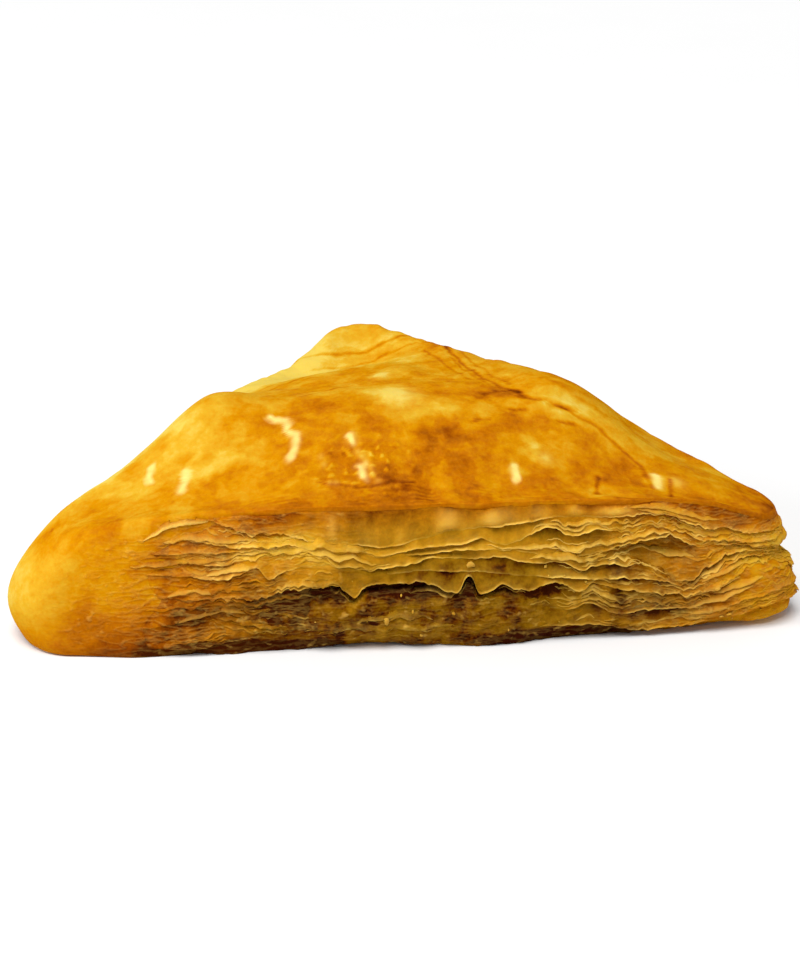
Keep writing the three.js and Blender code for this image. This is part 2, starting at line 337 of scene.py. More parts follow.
def ring_sum(u, parts, shift=0):
    """The sum of such noises, as (amount, waves, seed), with the seeds shifted."""
    return sum(amount * ring_noise(u, waves, seed + shift) for amount, waves, seed in parts)


def field_noise(x, y, size, seed):
    """Smooth noise over a plane, from about -1 to 1, with lumps of that size."""
    angles = np.random.default_rng(seed).uniform(0, 2 * np.pi, (NOISE_CELLS, NOISE_CELLS))
    x, y = (NOISE_COS * x + NOISE_SIN * y) / size, (NOISE_COS * y - NOISE_SIN * x) / size
    column, row = np.floor(x).astype(int), np.floor(y).astype(int)
    across, along = x - column, y - row

    def corner(i, j):
        angle = angles[(row + j) % NOISE_CELLS, (column + i) % NOISE_CELLS]
        return np.cos(angle) * (across - i) + np.sin(angle) * (along - j)

    blend = rises(0, 1, across)
    low = corner(0, 0) * (1 - blend) + corner(1, 0) * blend
    high = corner(0, 1) * (1 - blend) + corner(1, 1) * blend
    return NOISE_GAIN * (low + (high - low) * rises(0, 1, along))


def field_sum(x, y, parts):
    """The sum of such noises, as (amount, size, seed)."""
    return sum(amount * field_noise(x, y, size, seed) for amount, size, seed in parts)


def line_distance(x, y, line):
    """Distance from a line of points in the plan."""
    nearest = np.full(np.shape(x), np.inf)
    for (x0, y0), (x1, y1) in zip(line, line[1:]):
        run_x, run_y = x1 - x0, y1 - y0
        along = ((x - x0) * run_x + (y - y0) * run_y) / (run_x ** 2 + run_y ** 2)
        along = np.clip(along, 0, 1)
        nearest = np.minimum(nearest, np.hypot(x - x0 - along * run_x, y - y0 - along * run_y))
    return nearest


def plan_table():
    """Points round the plan, the share of the way at each, the corners' shares and the whole length."""
    corners = [LEFT, RIGHT, REAR]
    normals = []
    for (x0, y0, r0), (x1, y1, r1) in zip(corners, corners[1:] + corners[:1]):
        normals.append(math.atan2(y1 - y0, x1 - x0) - math.acos((r0 - r1) / math.hypot(x1 - x0, y1 - y0)))
    arcs = []
    for i, (x, y, radius) in enumerate(corners):
        turn = (normals[i] - normals[i - 1]) % (2 * math.pi)
        angles = normals[i - 1] + np.linspace(0, turn, ARC_STEPS)
        arcs.append(np.stack([x + radius * np.cos(angles), y + radius * np.sin(angles)], -1))
    points = np.concatenate(arcs + [arcs[0][:1]])
    steps = np.linalg.norm(np.diff(points, axis=0), axis=1)
    shares = np.concatenate([[0], np.cumsum(steps)]) / steps.sum()
    return points, shares, shares[ARC_STEPS // 2:-1:ARC_STEPS], steps.sum()


PLAN, PLAN_SHARES, CORNER_SHARES, PERIMETER = plan_table()
RIGHT_MARK, REAR_MARK = CORNER_SHARES[1:] - CORNER_SHARES[0]
SIDES = {"front": (0, RIGHT_MARK), "right": (RIGHT_MARK, REAR_MARK), "left": (REAR_MARK, 1)}
FRONT_SEARCH = np.linspace(0.02, RIGHT_MARK + 0.01, 400)


def outline(u):
    """Points of the plan's outline at share u of the way round from the left corner."""
    at = (u + CORNER_SHARES[0]) % 1
    along = np.clip((u % 1) / RIGHT_MARK, 0, 1)
    x = np.interp(at, PLAN_SHARES, PLAN[:, 0])
    y = np.interp(at, PLAN_SHARES, PLAN[:, 1])
    return np.stack([x, y - FRONT_BULGE * np.sin(np.pi * along) ** BULGE_POWER], -1)


def outward(u):
    """Unit normals of the outline."""
    run = outline(u + NORMAL_STEP) - outline(u - NORMAL_STEP)
    run /= np.linalg.norm(run, axis=-1)[..., None]
    return np.stack([run[..., 1], -run[..., 0]], -1)


def front_u(x):
    """The share of the way round at x along the front."""
    return np.interp(x, outline(FRONT_SEARCH)[:, 0], FRONT_SEARCH)


def side_share(side, share):
    """The share of the way round at a share of one side."""
    start, end = SIDES[side]
    return start + share * (end - start)


def round_the_sides(stations):
    """A smooth function of u through the stations of all three sides."""
    knots = []
    for side, row in zip(SIDES, stations):
        knots += [(side_share(side, share), value) for share, value in row]
    return closed_curve(knots)


def evenly_round(count):
    return np.arange(count) / count


class Columns:
    """Columns at shares u of the way round the outline, and the wall at each."""

    def __init__(self, u):
        self.u = u % 1
        self.along = self.u * PERIMETER
        self.plan = outline(self.u)
        self.x = self.plan[..., 0]
        self.normal = outward(self.u)
        self.rim = round_the_sides(RIM_HEIGHT)(self.u)
        self.foot = np.maximum(round_the_sides(FOOT_LIFT)(self.u), 0)
        self.lean = round_the_sides(WALL_LEAN)(self.u)
        self.bulge = np.maximum(round_the_sides(EDGE_BULGE)(self.u), 0)
        self.tuck = round_the_sides(FOOT_TUCK)(self.u)
        self.open = self.amount(LAYERS_OPEN)
        self.swell = self.amount(LOWER_SWELL)
        self.nose = self.amount(NOSE)
        self.cover = self.amount(CRUST_COVER)
        self.sinks = self.amount(CRUST_SINKS)
        self.glaze = self.amount(WALL_GLAZE)
        self.pale = self.amount(LIPS_PALE)
        self.crinkled = self.amount(CRINKLED)
        self.right_end = bell(RIGHT_MARK, NOTCH_REACH, self.u)
        self.from_left = np.minimum(self.u, 1 - self.u)
        self.front = rises(0, 0.03, self.u) * fades(RIGHT_MARK - 0.01, RIGHT_MARK + 0.02, self.u)

    def amount(self, stations):
        """A share from 0 to 1 at each column."""
        return np.clip(round_the_sides(stations)(self.u), 0, 1)

    def height(self, share):
        return self.foot + (self.rim - self.foot) * share

    def share(self, height):
        return (height - self.foot) / (self.rim - self.foot)

    def place(self, height, depth):
        """Points of the wall at that height, that far in from its face."""
        height = np.broadcast_to(height, np.broadcast_shapes(np.shape(height), self.u.shape))
        depth = np.broadcast_to(depth, height.shape)
        share = self.share(height)
        inset = self.lean * np.maximum(share, 0) ** LEAN_POWER
        inset = inset + self.tuck * np.maximum(1 - share / TUCK_SHARE, 0) ** 2
        inset = inset - NOSE_SWELL * self.nose * np.sin(np.pi * np.clip(share, 0, 1) ** NOSE_DROOP)
        depth = depth + NOTCH_DEPTH * self.right_end * bell(NOTCH_SHARE, NOTCH_WIDTH, share)
        away = MIDDLE - self.plan
        reach = np.linalg.norm(away, axis=-1)
        plan = self.plan + away * (inset / reach)[..., None] - self.normal * depth[..., None]
        return np.concatenate([plan, height[..., None]], -1)


# Where the form lies in the frame: its right and rear ends are the solid's own.
FORM_COLUMNS = 900
FORM_ROWS = 30


def form_offset():
    """How far the form lies from its place in the frame."""
    form = Columns(evenly_round(FORM_COLUMNS))
    rows = [form.place(form.height(share), 0) for share in np.linspace(0, 1, FORM_ROWS)]
    solid_ends = np.array(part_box("pastry")[1]) / MM
    return (np.array(rows).max((0, 1)) - solid_ends) * (1, 1, 0)


OFFSET = form_offset()

# The relief of the top. Noise is listed as (amount, size, seed), or (amount, waves, seed) round the outline.
TOP_LUMPS = [(0.55, 13, 1), (0.3, 6, 2), (0.13, 2.8, 3)]
RIM_PLEATS = [(0.28, 46, 5), (0.168, 110, 6)]
CREASE_SHIFT_X = [(0.5, 4, 51), (0.25, 1.7, 52)]
CREASE_SHIFT_Y = [(0.5, 4, 53), (0.25, 1.7, 54)]
CREASE_BROW = 0.15
RUN_WIDTH = 1
RUN_HEIGHT = 0.4
GRAIN_HEIGHT = 0.9
LINE_SPACING = 1.6
LINE_HEIGHT = 0.09
# The browning of the top: its mean, its mottling, and how much browner or paler its features are. The shade
# in the creases, the highlights beside them and on the glaze runs, and the glare along the left rim are
# painted.
TOP_TONE = 0.47
TOP_MOTTLING = [(0.12, 9, 11), (0.06, 4, 12), (0.03, 1.8, 14)]
TOP_STREAKS = 0.05
TOP_ISLANDS = [(1, 7, 57), (0.5, 2.5, 58)]
ISLANDS_BROWN = 0.09
PATCH_SHIFT_X = [(2.5, 6, 15), (1.2, 2.5, 16)]
PATCH_SHIFT_Y = [(2.5, 6, 17), (1.2, 2.5, 18)]
# Painted shade inside the creases, and a painted highlight along their brows.
CREASE_SHADE_BROWNS = 0.6
BROW_HIGHLIGHT_PALES = 0.16
BLISTERS_PALE = 0.5
# How much paler the glaze runs are as a painted highlight, and the bubbles of glaze.
GLINT_AND_GRAIN_PALES = 0.4
LINES_BROWN = 0.09
# How much paler the left side's rim is, as painted glare.
FLANK_GLARE_PALES = 0.38
RIM_BROWNS = 0.15


def crown_height(x, y):
    """Height of the crown over a place of the plan."""
    height = np.full(np.shape(x), float(EAR_HEIGHT))
    for (cx, cy), (wide, deep), rise, power, turn in MOUNDS:
        a = ((x - cx) * math.cos(turn) + (y - cy) * math.sin(turn)) / wide
        b = ((y - cy) * math.cos(turn) - (x - cx) * math.sin(turn)) / deep
        height += rise * np.exp(-((a * a + b * b) ** power))
    return height


def crease_reach(x, y, line, width):
    """Distance from a crease that wanders and thins out in places, in its half widths."""
    shifted_x, shifted_y = x + field_sum(x, y, CREASE_SHIFT_X), y + field_sum(x, y, CREASE_SHIFT_Y)
    return line_distance(shifted_x, shifted_y, line) / (width * (0.8 + 0.45 * field_noise(x, y, 3, 55)))


def creases(x, y, inside, beside, away):
    """The creases by their depths: that much inside, and that much beside them, so many half widths away."""
    total = 0
    for line, width, depth in CREASES:
        reach = crease_reach(x, y, line, width)
        total = total + depth * (inside * bell(0, 1, reach) + beside * bell(away, 1, reach))
    return total


def blisters(x, y):
    """Height of the glaze's blisters."""
    return sum(height * spot(x, y, cx, cy, radius, radius) for cx, cy, radius, height in BLISTERS)


def glaze_runs_and_glints(x, y):
    """1 on the thick runs of glaze, which carry a painted highlight, and 0 away from them."""
    nearest = np.min([crease_reach(x, y, line, RUN_WIDTH) for line in GLAZE_RUNS_AND_GLINTS], 0)
    return np.exp(-nearest ** 2.5) * (0.85 + 0.3 * field_noise(x, y, 1.5, 56))


def glaze_grains(x, y):
    """Small bubbles of glaze in the browned part of the front, from 0 to 1."""
    return rises(0.25, 0.7, field_noise(x, y, 1.7, 4)) * spot(x, y, -9, 12, 12, 7)


def rim_lines(x, y, u, from_rim):
    """Fine lines of the top that follow its rim, from -1 to 1, and 0 away from it."""
    wander = 0.9 * ring_noise(u, 30, 7) + 0.6 * field_noise(x, y, 5, 8)
    lines = np.sin(2 * np.pi * (from_rim + wander) / LINE_SPACING)
    shows = rises(-0.3, 0.5, field_noise(x, y, 9, 9)) * rises(0.08, 0.15, u)
    return lines * shows * rises(0.5, 2, from_rim) * fades(4, 10, from_rim)


def top_relief(x, y, u, from_rim):
    """Lumps, creases, blisters and the small pleats near the rim, as height over the smooth top."""
    relief = field_sum(x, y, TOP_LUMPS) * rises(0, 7, from_rim) + creases(x, y, -1, CREASE_BROW, 2)
    relief += blisters(x, y) + RUN_HEIGHT * glaze_runs_and_glints(x, y) + GRAIN_HEIGHT * glaze_grains(x, y)
    relief += ring_sum(u, RIM_PLEATS) * rises(0, 2, from_rim) * fades(4, 11, from_rim)
    return relief + LINE_HEIGHT * rim_lines(x, y, u, from_rim)


def glare_flank(x, y, u, from_rim):
    """1 along the left side's rim, where it is made paler as a painted glare, and 0 elsewhere."""
    along = rises(REAR_MARK + 0.01, REAR_MARK + 0.06, u) * fades(0.94, 1, u)
    across = rises(1, 6, from_rim) * fades(8, 22, from_rim)
    return along * across * (1 + 0.5 * field_noise(x, y, 6, 20))


def top_browning_and_light(x, y, u, from_rim):
    """How brown the top is, from 0 for pale cream to 1 for burnt, with painted shade in its creases and
    painted highlights beside them, on the glaze runs and along the left rim.
    """
    tone = TOP_TONE + field_sum(x, y, TOP_MOTTLING) + TOP_STREAKS * field_noise(0.4 * x, 1.3 * y, 2, 19)
    tone += ISLANDS_BROWN * (rises(-0.15, 0.1, field_sum(x, y, TOP_ISLANDS)) - 0.5)
    shifted_x, shifted_y = x + field_sum(x, y, PATCH_SHIFT_X), y + field_sum(x, y, PATCH_SHIFT_Y)
    for *patch, change in PATCHES:
        tone += change * spot(shifted_x, shifted_y, *patch)
    # Painted shade in the creases, a painted highlight beside them, and paler blisters.
    tone += creases(x, y, CREASE_SHADE_BROWNS, -BROW_HIGHLIGHT_PALES, 2.2) - BLISTERS_PALE * blisters(x, y)
    # Painted highlight on the glaze runs, and paler bubbles of glaze.
    tone -= GLINT_AND_GRAIN_PALES * (glaze_runs_and_glints(x, y) + glaze_grains(x, y))
    # Browner lines near the rim, and painted glare along the left side's rim.
    tone += LINES_BROWN * rim_lines(x, y, u, from_rim) - FLANK_GLARE_PALES * glare_flank(x, y, u, from_rim)
    rim = fades(0, 5, from_rim + 1.5 * ring_noise(u, 40, 13)) * rises(0.1, 0.18, np.minimum(u, 1 - u))
    return tone + RIM_BROWNS * rim


# The crust: its edge, its skirt down the sides and its top.
CRUST_COLUMNS = 900
TOP_ROWS = 88
TOP_POWER = 1.15
SKIRT_ROWS = 14
SKIRT_SINK = 3
CRUST_THICKNESS = 1.5
CRUST_WAVES = [(0.5, 26, 21), (0.3, 75, 22), (0.15, 190, 23)]
WAVE_HEIGHT = 0.9
WAVE_DEPTH = 0.2
EDGE_LEDGE = 1.2
INNER_DEPTH = 9
INNER_DROP = 4
INNER_FLOOR = 1.5
ROUND_PASSES = 40
ROUND_FRONT = 0.2
ROUND_NOSE = 0.5
ROUND_REAR = 0.1
# The browning of its skirt: the rim's tone is taken over that many columns to each side. Its nose's tip is
# paler with painted glare.
TONE_REACH = 20
NOSE_TONE = 0.42
NOSE_STREAKS = 0.25
FOOT_BROWNS = 0.14
TIP_GLARE_PALES = 0.27


def crust_lip(cols):
    """Height of the crust's lip round the sides, and how far it lies in from the wall."""
    wave = ring_sum(cols.u, CRUST_WAVES)
    height = cols.rim - CRUST_THICKNESS + WAVE_HEIGHT * wave * cols.open
    return height, WAVE_DEPTH * cols.open * (1 + wave)


def crust_edge(cols):
    """Height of the crust's real edge, which runs down the wall round the left corner."""
    height, _ = crust_lip(cols)
    return height + (cols.foot - height) * cols.cover


def skirt_depth(cols, height):
    """How far in from the wall the crust lies: it sinks behind the sheets, but not at the nose."""
    _, depth = crust_lip(cols)
    below = cols.rim - height
    streaks = NOSE_STREAKS * field_noise(0.12 * cols.plan.sum(-1), height, 1.8, 35) * cols.nose
    return depth + SKIRT_SINK * cols.sinks * rises(1, 5, below) + streaks * rises(0, 2, below)


def skirt_rows(cols):
    """Rows down the outside of the crust, from its edge up to under its rim."""
    edge = crust_edge(cols)
    rows = []
    for share in np.linspace(1, 0, SKIRT_ROWS + 1)[:-1]:
        height = cols.rim + (edge - cols.rim) * share
        rows.append(cols.place(height, skirt_depth(cols, height) * rises(0, 1, share * 3)))
    return np.array(rows)


def rounded(rows, weight):
    """Rows with the bends between them softened, more in columns with more weight."""
    rows = rows.copy()
    for _ in range(ROUND_PASSES):
        middle = (rows[:-2] + rows[2:]) / 2
        rows[1:-1] += weight[:, None] * (middle - rows[1:-1])
    return rows


def top_rows(cols, rim):
    """Rows over the top from the rim to near the middle, and how brown each point is, painted light included.
    """
    shares = 1 - np.linspace(0, 1, TOP_ROWS + 1)[1:-1] ** TOP_POWER
    plan = MIDDLE + (rim[None, :, :2] - MIDDLE) * shares[:, None, None]
    x, y = plan[..., 0], plan[..., 1]
    from_rim = np.linalg.norm(plan - rim[:, :2], axis=-1)
    whole = np.linalg.norm(MIDDLE - rim[:, :2], axis=-1)
    swell = (1 - np.exp(-from_rim / SHOULDER)) / (1 - np.exp(-whole / SHOULDER))
    height = rim[:, 2] + (crown_height(x, y) - rim[:, 2]) * swell
    height = height + cols.bulge * (from_rim / BULGE_REACH) * np.exp(1 - from_rim / BULGE_REACH)
    u = np.broadcast_to(cols.u, x.shape)
    height += top_relief(x, y, u, from_rim)
    return np.concatenate([plan, height[..., None]], -1), top_browning_and_light(x, y, u, from_rim)


def skirt_browning_and_light(cols, height, rim_tone):
    """How brown the crust's skirt is: as at the rim, then in level streaks, browner near the foot, and paler
    at the nose's tip with painted glare.
    """
    around = cols.plan.sum(-1)
    streaks = 0.07 * field_noise(0.3 * around, height, 2, 36) + 0.05 * field_noise(around, height, 5, 37)
    own = NOSE_TONE + streaks + zoned(cols, height, LEFT_ZONES) + burnt_foot(cols, height)
    own = own + FOOT_BROWNS * fades(0, 14, height)
    # Painted glare on the nose's tip.
    own = own - TIP_GLARE_PALES * fades(-94, -76, cols.x) * rises(1, 9, height)
    rim_tone = np.mean([np.roll(rim_tone, step) for step in range(-TONE_REACH, TONE_REACH + 1)], 0)
    blend = rises(0, 7, cols.rim - height)
    return rim_tone * (1 - blend) + own * blend


def crust_rows(cols):
    """Rows of the crust from its hidden underside over its edge to the top, with how brown each point is,
    painted light included.
    """
    edge = crust_edge(cols)
    rim = cols.place(cols.rim, 0)
    inner = cols.place(np.maximum(edge - INNER_DROP, cols.foot + INNER_FLOOR), INNER_DEPTH)
    ledge = cols.place(edge, skirt_depth(cols, edge) + EDGE_LEDGE)
    skirt = skirt_rows(cols)
    top, tone = top_rows(cols, rim)
    nose = rises(0.02, 0.4, cols.nose)
    others = ROUND_FRONT * cols.front + ROUND_REAR * (1 - cols.front)
    softness = ROUND_NOSE * nose + others * (1 - nose)
    outside = rounded(np.concatenate([skirt, [rim], top]), softness)
    skirt_tone = skirt_browning_and_light(cols, np.concatenate([[inner, ledge], skirt])[..., 2], tone[0])
    return np.concatenate([[inner, ledge], outside]), np.concatenate([skirt_tone, tone[:1], tone])


# The lips of the sheets.
LIP_DEPTH = 0.45
LIP_WAVES = [(0.4, 24, 300), (0.25, 70, 320)]
LIP_TEARS = [(0.3, 60, 200), (0.24, 150, 201), (0.14, 400, 202)]
LIP_WEAR = [(0.5, 50, 400), (0.5, 170, 410)]
LEAST_GAP = 0.5
BURIED_DEPTH = 2.6
NOSE_HIDES = 8
FIRST_HIDES = 7
# Sheets are shut, and sink under the crust, from a place near the left corner on.
SHUT_SEED = 360
SHUT_FROM = (0.085, 0.125)
SHUT_OVER = 0.04
SHUT_DEPTH = 1.6
SHUT_PROUD = 0.3
# Round the rear sides the lips lie in even steps, from the top share down, with arches between knots.
STACK_TOP = 0.95
STACK_FOOT = 0.02
STACK_START = 0.55
SIDE_KNOTS = 9
SIDE_SPANS = {"right": (0.08, 0.97), "left": (0.08, 0.9)}
KNOT_SPREAD = 0.03
SIDE_ARCH = 2.6
ARCH_LOW = 0.4


@dataclass
class Lip:
    """A lower edge round the sides: height, depth in, overhang, how freely it stands off, and paleness."""

    height: np.ndarray
    depth: np.ndarray
    overhang: np.ndarray
    strength: np.ndarray
    pale: np.ndarray


def lip_height(cols, name):
    """Height of a main lip: as listed in front, and in even steps with arches round the rear sides."""
    index = LIP_NAMES.index(name)
    even = STACK_TOP * (1 - (index + STACK_START) / len(LIPS)) + STACK_FOOT
    rng = np.random.default_rng(100 + index)
    x, heights = np.array(LIPS[name]).T
    listed = Columns(front_u(x))
    knots = list(zip(listed.u, listed.share(heights)))
    for side, span in SIDE_SPANS.items():
        for share in np.linspace(*span, SIDE_KNOTS):
            knots.append((side_share(side, share), even + rng.uniform(-KNOT_SPREAD, KNOT_SPREAD)))
    height = cols.height(closed_curve(knots)(cols.u))
    arches = np.abs(ring_noise(cols.u, 17, 120 + index)) - ARCH_LOW
    return height + SIDE_ARCH * arches * (1 - cols.front) * cols.open


def below_hem(cols, height):
    """How far below the hem a height is."""
    return lip_height(cols, "hem") - height


def shut_away(cols, seed):
    """How far a sheet sinks under the crust towards the left corner, each from a place of its own."""
    start = np.random.default_rng(seed).uniform(*SHUT_FROM)
    return SHUT_DEPTH * fades(start - SHUT_OVER, start, cols.from_left) + NOSE_HIDES * cols.nose


def main_lip(cols, name):
    """A listed lip with its torn edge, its wear and its gaps. It lies flat at the lower left of the front."""
    index = LIP_NAMES.index(name)
    tears = cols.open * (0.6 + cols.crinkled) * ring_sum(cols.u, LIP_TEARS, 10 * index)
    height = lip_height(cols, name) + TORN.get(name, 1) * tears
    depth = cols.open * (LIP_DEPTH + SHUT_PROUD + ring_sum(cols.u, LIP_WAVES, index)) - SHUT_PROUD
    depth = depth + shut_away(cols, SHUT_SEED + index)
    if name in LOW_LIPS:
        depth = depth + BURIED_DEPTH * cols.swell
    flat = fades(-40, -22, cols.x) * fades(15, 20, height) * cols.front
    worn = 0.25 + 0.75 * rises(-0.4, 0.4, ring_sum(cols.u, LIP_WEAR, index))
    pale = cols.pale * worn * (1 - 0.75 * flat) * PALENESS.get(name, 1)
    strength = rises(-0.4, 0.35, ring_noise(cols.u, 15, 380 + index))
    overhang = OVERHANG[name] * strength * (1 + 0.4 * ring_noise(cols.u, 20, 340 + index)) * (1 - 0.8 * flat)
    for at, width, added in GAPS.get(name, []):
        gap = plateau(at, width, cols.x) * cols.front
        overhang = overhang + added * gap
        strength = np.maximum(strength, gap)
    return Lip(height, depth, overhang * cols.open, strength * np.sqrt(cols.open), pale)


def stacked_lips(cols):
    """All lips from the crust's edge down, none above the one before it."""
    height, depth = crust_lip(cols)
    depth = depth + shut_away(cols, SHUT_SEED - 1) + FIRST_HIDES * (1 - cols.sinks)
    none = np.zeros(cols.u.shape)
    lips = [Lip(height, depth, none, cols.open, none)]
    for name in LIPS:
        lip = main_lip(cols, name)
        lip.height = np.minimum(lip.height, lips[-1].height - LEAST_GAP)
        lips.append(lip)
    return lips


# The dough behind and under the sheets. Folds and mottling are noise: (amount, stretch, size, seed).
DOUGH_COLUMNS = 720
DOUGH_ROWS = 84
DOUGH_TOP = 0.86
DOUGH_SINK = 0.5
BASE_SHARES = (0.5, 0.86)
DOUGH_DEPTH = 6.2
LOW_DEPTH = 4.6
SWELL_DEPTH = 1.3
COVERED_DEPTH = 4
DOUGH_FOLDS = [(0.9, 1.4, 4, 33), (0.4, 1.2, 1.9, 34)]
# The sides' glaze and browning, with painted shade under and below the hem.
UPPER_GLAZE = 0.6
SWELL_DULLS = 0.6
WALL_TONE = 0.56
WALL_MOTTLING = [(0.09, 2, 9, 41), (0.08, 1, 3, 42), (0.07, 0.35, 3.5, 44)]
AMBER_BROWNS = 0.04
# Darker below the hem: partly the moist dough's own colour, partly painted shade.
LOW_BROWNS_AND_SHADE = 0.13
SWELL_BROWNS_AND_SHADE = 0.17
# Painted shade in the gap just under the hem.
UNDER_HEM_SHADE = 0.05
NOSE_BROWNS = 0.15
BURNT = 0.65
BURNT_PLACES = [(38, 19), (-45, 20)]
# Zones of the front that are browner or paler: change of browning, then where along x and at what heights, as
# functions with their two limits. The first four hold for the crust's skirt too. Some zones are painted light
# or shade, as marked.
LEFT_ZONES = [
    (0.19, [(plateau, -63, 17)], [(fades, 9, 16)]),
    (0.14, [(plateau, -42, 14)], [(rises, 6, 13), (fades, 16, 25)]),
    (0.06, [(plateau, -36, 13)], [(fades, 9, 15)]),
    (0.1, [(plateau, -52, 12)], [(plateau, 28, 6)]),
]
WALL_ZONES = LEFT_ZONES + [
    # Painted shade: darker on the hem's sheet faces, which lean up into the light.
    (0.24, [(plateau, 8, 40)], [(plateau, 18, 5)]),
    # Painted light: paler under the arch, in its shadow.
    (-0.13, [(plateau, 60, 8)], [(plateau, 22, 3)]),
    (0.18, [(plateau, 57, 14)], [(plateau, 13, 9)]),
    (-0.22, [(plateau, -28, 13)], [(plateau, 25, 5)]),
    (-0.02, [(plateau, 45, 24)], [(fades, 5, 13)]),
    # Painted light: paler along the foot in the middle, where it lies in shade.
    (-0.03, [(plateau, 0, 28)], [(fades, 3, 8)]),
    (0.06, [(bell, -20, 9)], [(fades, 9, 15)]),
    # Painted light: paler at the right end, on its shaded side.
    (-0.17, [(rises, 70, 84)], []),
    # Painted light: paler along the right foot, on its shaded underside.
    (-0.15, [(rises, 48, 62)], [(fades, 2, 5)]),
    (0.26, [(rises, 72, 82)], [(rises, 24, 27)]),
]


def dough_depth(cols, height):
    """How far in from the wall the dough lies: deep above the hem, and swollen in places below it."""
    low = rises(0.2, 2, below_hem(cols, height) + 0.8 * field_noise(cols.along, height, 3, 31))
    swollen = LOW_DEPTH + (SWELL_DEPTH - LOW_DEPTH) * cols.swell
    swollen = swollen + field_noise(cols.along, 1.8 * height, 8, 32)
    for amount, stretch, size, seed in DOUGH_FOLDS:
        swollen = swollen - amount * np.abs(field_noise(cols.along, stretch * height, size, seed))
    depth = cols.open * (DOUGH_DEPTH * (1 - low) + swollen * low)
    return depth + COVERED_DEPTH * (1 - cols.sinks) + NOSE_HIDES * cols.nose


def dough_rows(cols):
    """Rows of the dough from its base, up its wall and in under the crust."""
    foot = cols.place(cols.foot, dough_depth(cols, cols.foot))
    rows = []
    for share in BASE_SHARES:
        plan = MIDDLE + (foot[:, :2] - MIDDLE) * share
        rows.append(np.concatenate([plan, np.zeros((len(cols.u), 1))], -1))
    for share in np.linspace(0, DOUGH_TOP, DOUGH_ROWS):
        height = cols.height(share)
        rows.append(cols.place(height, dough_depth(cols, height)))
    rows.append(cols.place(cols.height(DOUGH_TOP) - DOUGH_SINK, INNER_DEPTH))
    return np.array(rows)


def wall_glaze(cols, height):
    """How much of the crust's golden glaze the sides have, from 0 to 1."""
    upper = UPPER_GLAZE * rises(0.78, 0.95, cols.share(height))
    swollen = cols.swell * rises(0, 3, below_hem(cols, height))
    return np.clip((cols.glaze + upper) * (1 - SWELL_DULLS * swollen), 0, 1)


def share_in(limits, value):
    """How far a value lies within all of those limits, from 0 to 1."""
    share = 1
    for function, first, second in limits:
        share = share * function(first, second, value)
    return share


def zoned(cols, height, zones):
    """Change of tone by zones of the front, some of it painted light and shade."""
    changes = (change * share_in(along, cols.x) * share_in(up, height) for change, along, up in zones)
    return cols.front * sum(changes)


def burnt_foot(cols, height):
    """Added browning along the foot, in front at a few places only."""
    places = sum(plateau(at, half, cols.x) for at, half in BURNT_PLACES)
    amount = (0.1 + 0.9 * places * cols.front + 0.4 * (1 - cols.front)) * (1 - cols.nose)
    return BURNT * amount * fades(1.2, 4.4, height + 0.8 * ring_noise(cols.u, 60, 43))


def wall_browning_and_light(cols, height):
    """How brown the sides are, from 0 to 1, with painted shade under and below the hem, and painted light and
    shade in some zones.
    """
    below = below_hem(cols, height)
    tone = WALL_TONE + zoned(cols, height, WALL_ZONES) + burnt_foot(cols, height)
    for amount, stretch, size, seed in WALL_MOTTLING:
        tone = tone + amount * field_noise(cols.along, stretch * height, size, seed)
    amber = bell(-8, 14, cols.x) * cols.front * rises(0.74, 0.9, cols.share(height))
    # Darker below the hem: the moist dough's own colour and painted shade.
    low = (LOW_BROWNS_AND_SHADE + SWELL_BROWNS_AND_SHADE * cols.swell) * rises(-0.5, 3, below) * cols.open
    # Painted shade in the gap just under the hem.
    hem = UNDER_HEM_SHADE * cols.swell * bell(0.8, 1.3, below)
    return tone + AMBER_BROWNS * amber + low + hem + NOSE_BROWNS * cols.nose * fades(3, 11, height)


def pillows(cols):
    """Soft pillows along the first sheet, from 0 to 1: as listed in front, at random round the rear sides."""
    x = cols.x + 0.8 * ring_noise(cols.u, 90, 72)
    listed = sum(shows * bell(at, width, x) for at, width, shows in PLEATS)
    return listed * cols.front + rises(0, 0.9, np.abs(ring_noise(cols.u, 38, 71))) * (1 - cols.front)


# Sections of a sheet, from its root behind the lip above, down its face, round its lip and up its back.
SHEET_COLUMNS = 1300
FACE_SHARES = (0.12, 0.3, 0.52, 0.76, 1)
FACE_TURN = 0.8 * math.pi
FACE_POWER = 1.6
FACE_PALES = 0.12
SHEET_FOLDS = [(0.2, 60, 600), (0.1, 150, 650)]
BAND_SHARES = (0.3, 0.6, 0.85)
BAND_HEIGHT = 0.6
BAND_MOST = 0.6
SHUT_BAND = 3
ROOT_RISE = 1.2
FIRST_RISE = 0.15
ROOT_DROP = 4
ROOT_INSET = 0.9
BACK_INSET = 1.7
BACK_DEPTH = 0.8
LIP_CURL = 0.5
LIP_THICKNESS = 0.35
PILLOW_DEPTH = 0.55
# The sheets' colours: how much lips, pleats and pillows show, how dark the painted shade is at each sheet's
# root under the lip above, and how much the sheets differ.
LIP_SHOWS = 0.95
PLEAT_SHOWS = 0.42
PILLOW_PALES = 0.3
ROOT_SHADE_BROWNS = 0.4
FIRST_ROOT_SHADE = 0.4
LOW_ROOT_SHADE = 0.5
SHEET_SPREAD = 0.05
SHEET_SEED = 700


@dataclass
class SectionPoint:
    """A point of a sheet's section in every column, and its shares of the lip, the root (which takes painted
    shade) and the pillows.
    """

    height: np.ndarray
    depth: np.ndarray
    lip: float
    root: float
    pillow: np.ndarray = 0


def face_depth(upper, lip, share):
    """Depth of a sheet's face at a share of the way down from the lip above to its own."""
    root = upper.depth + upper.overhang
    return root + (lip.depth - root) * share ** FACE_POWER


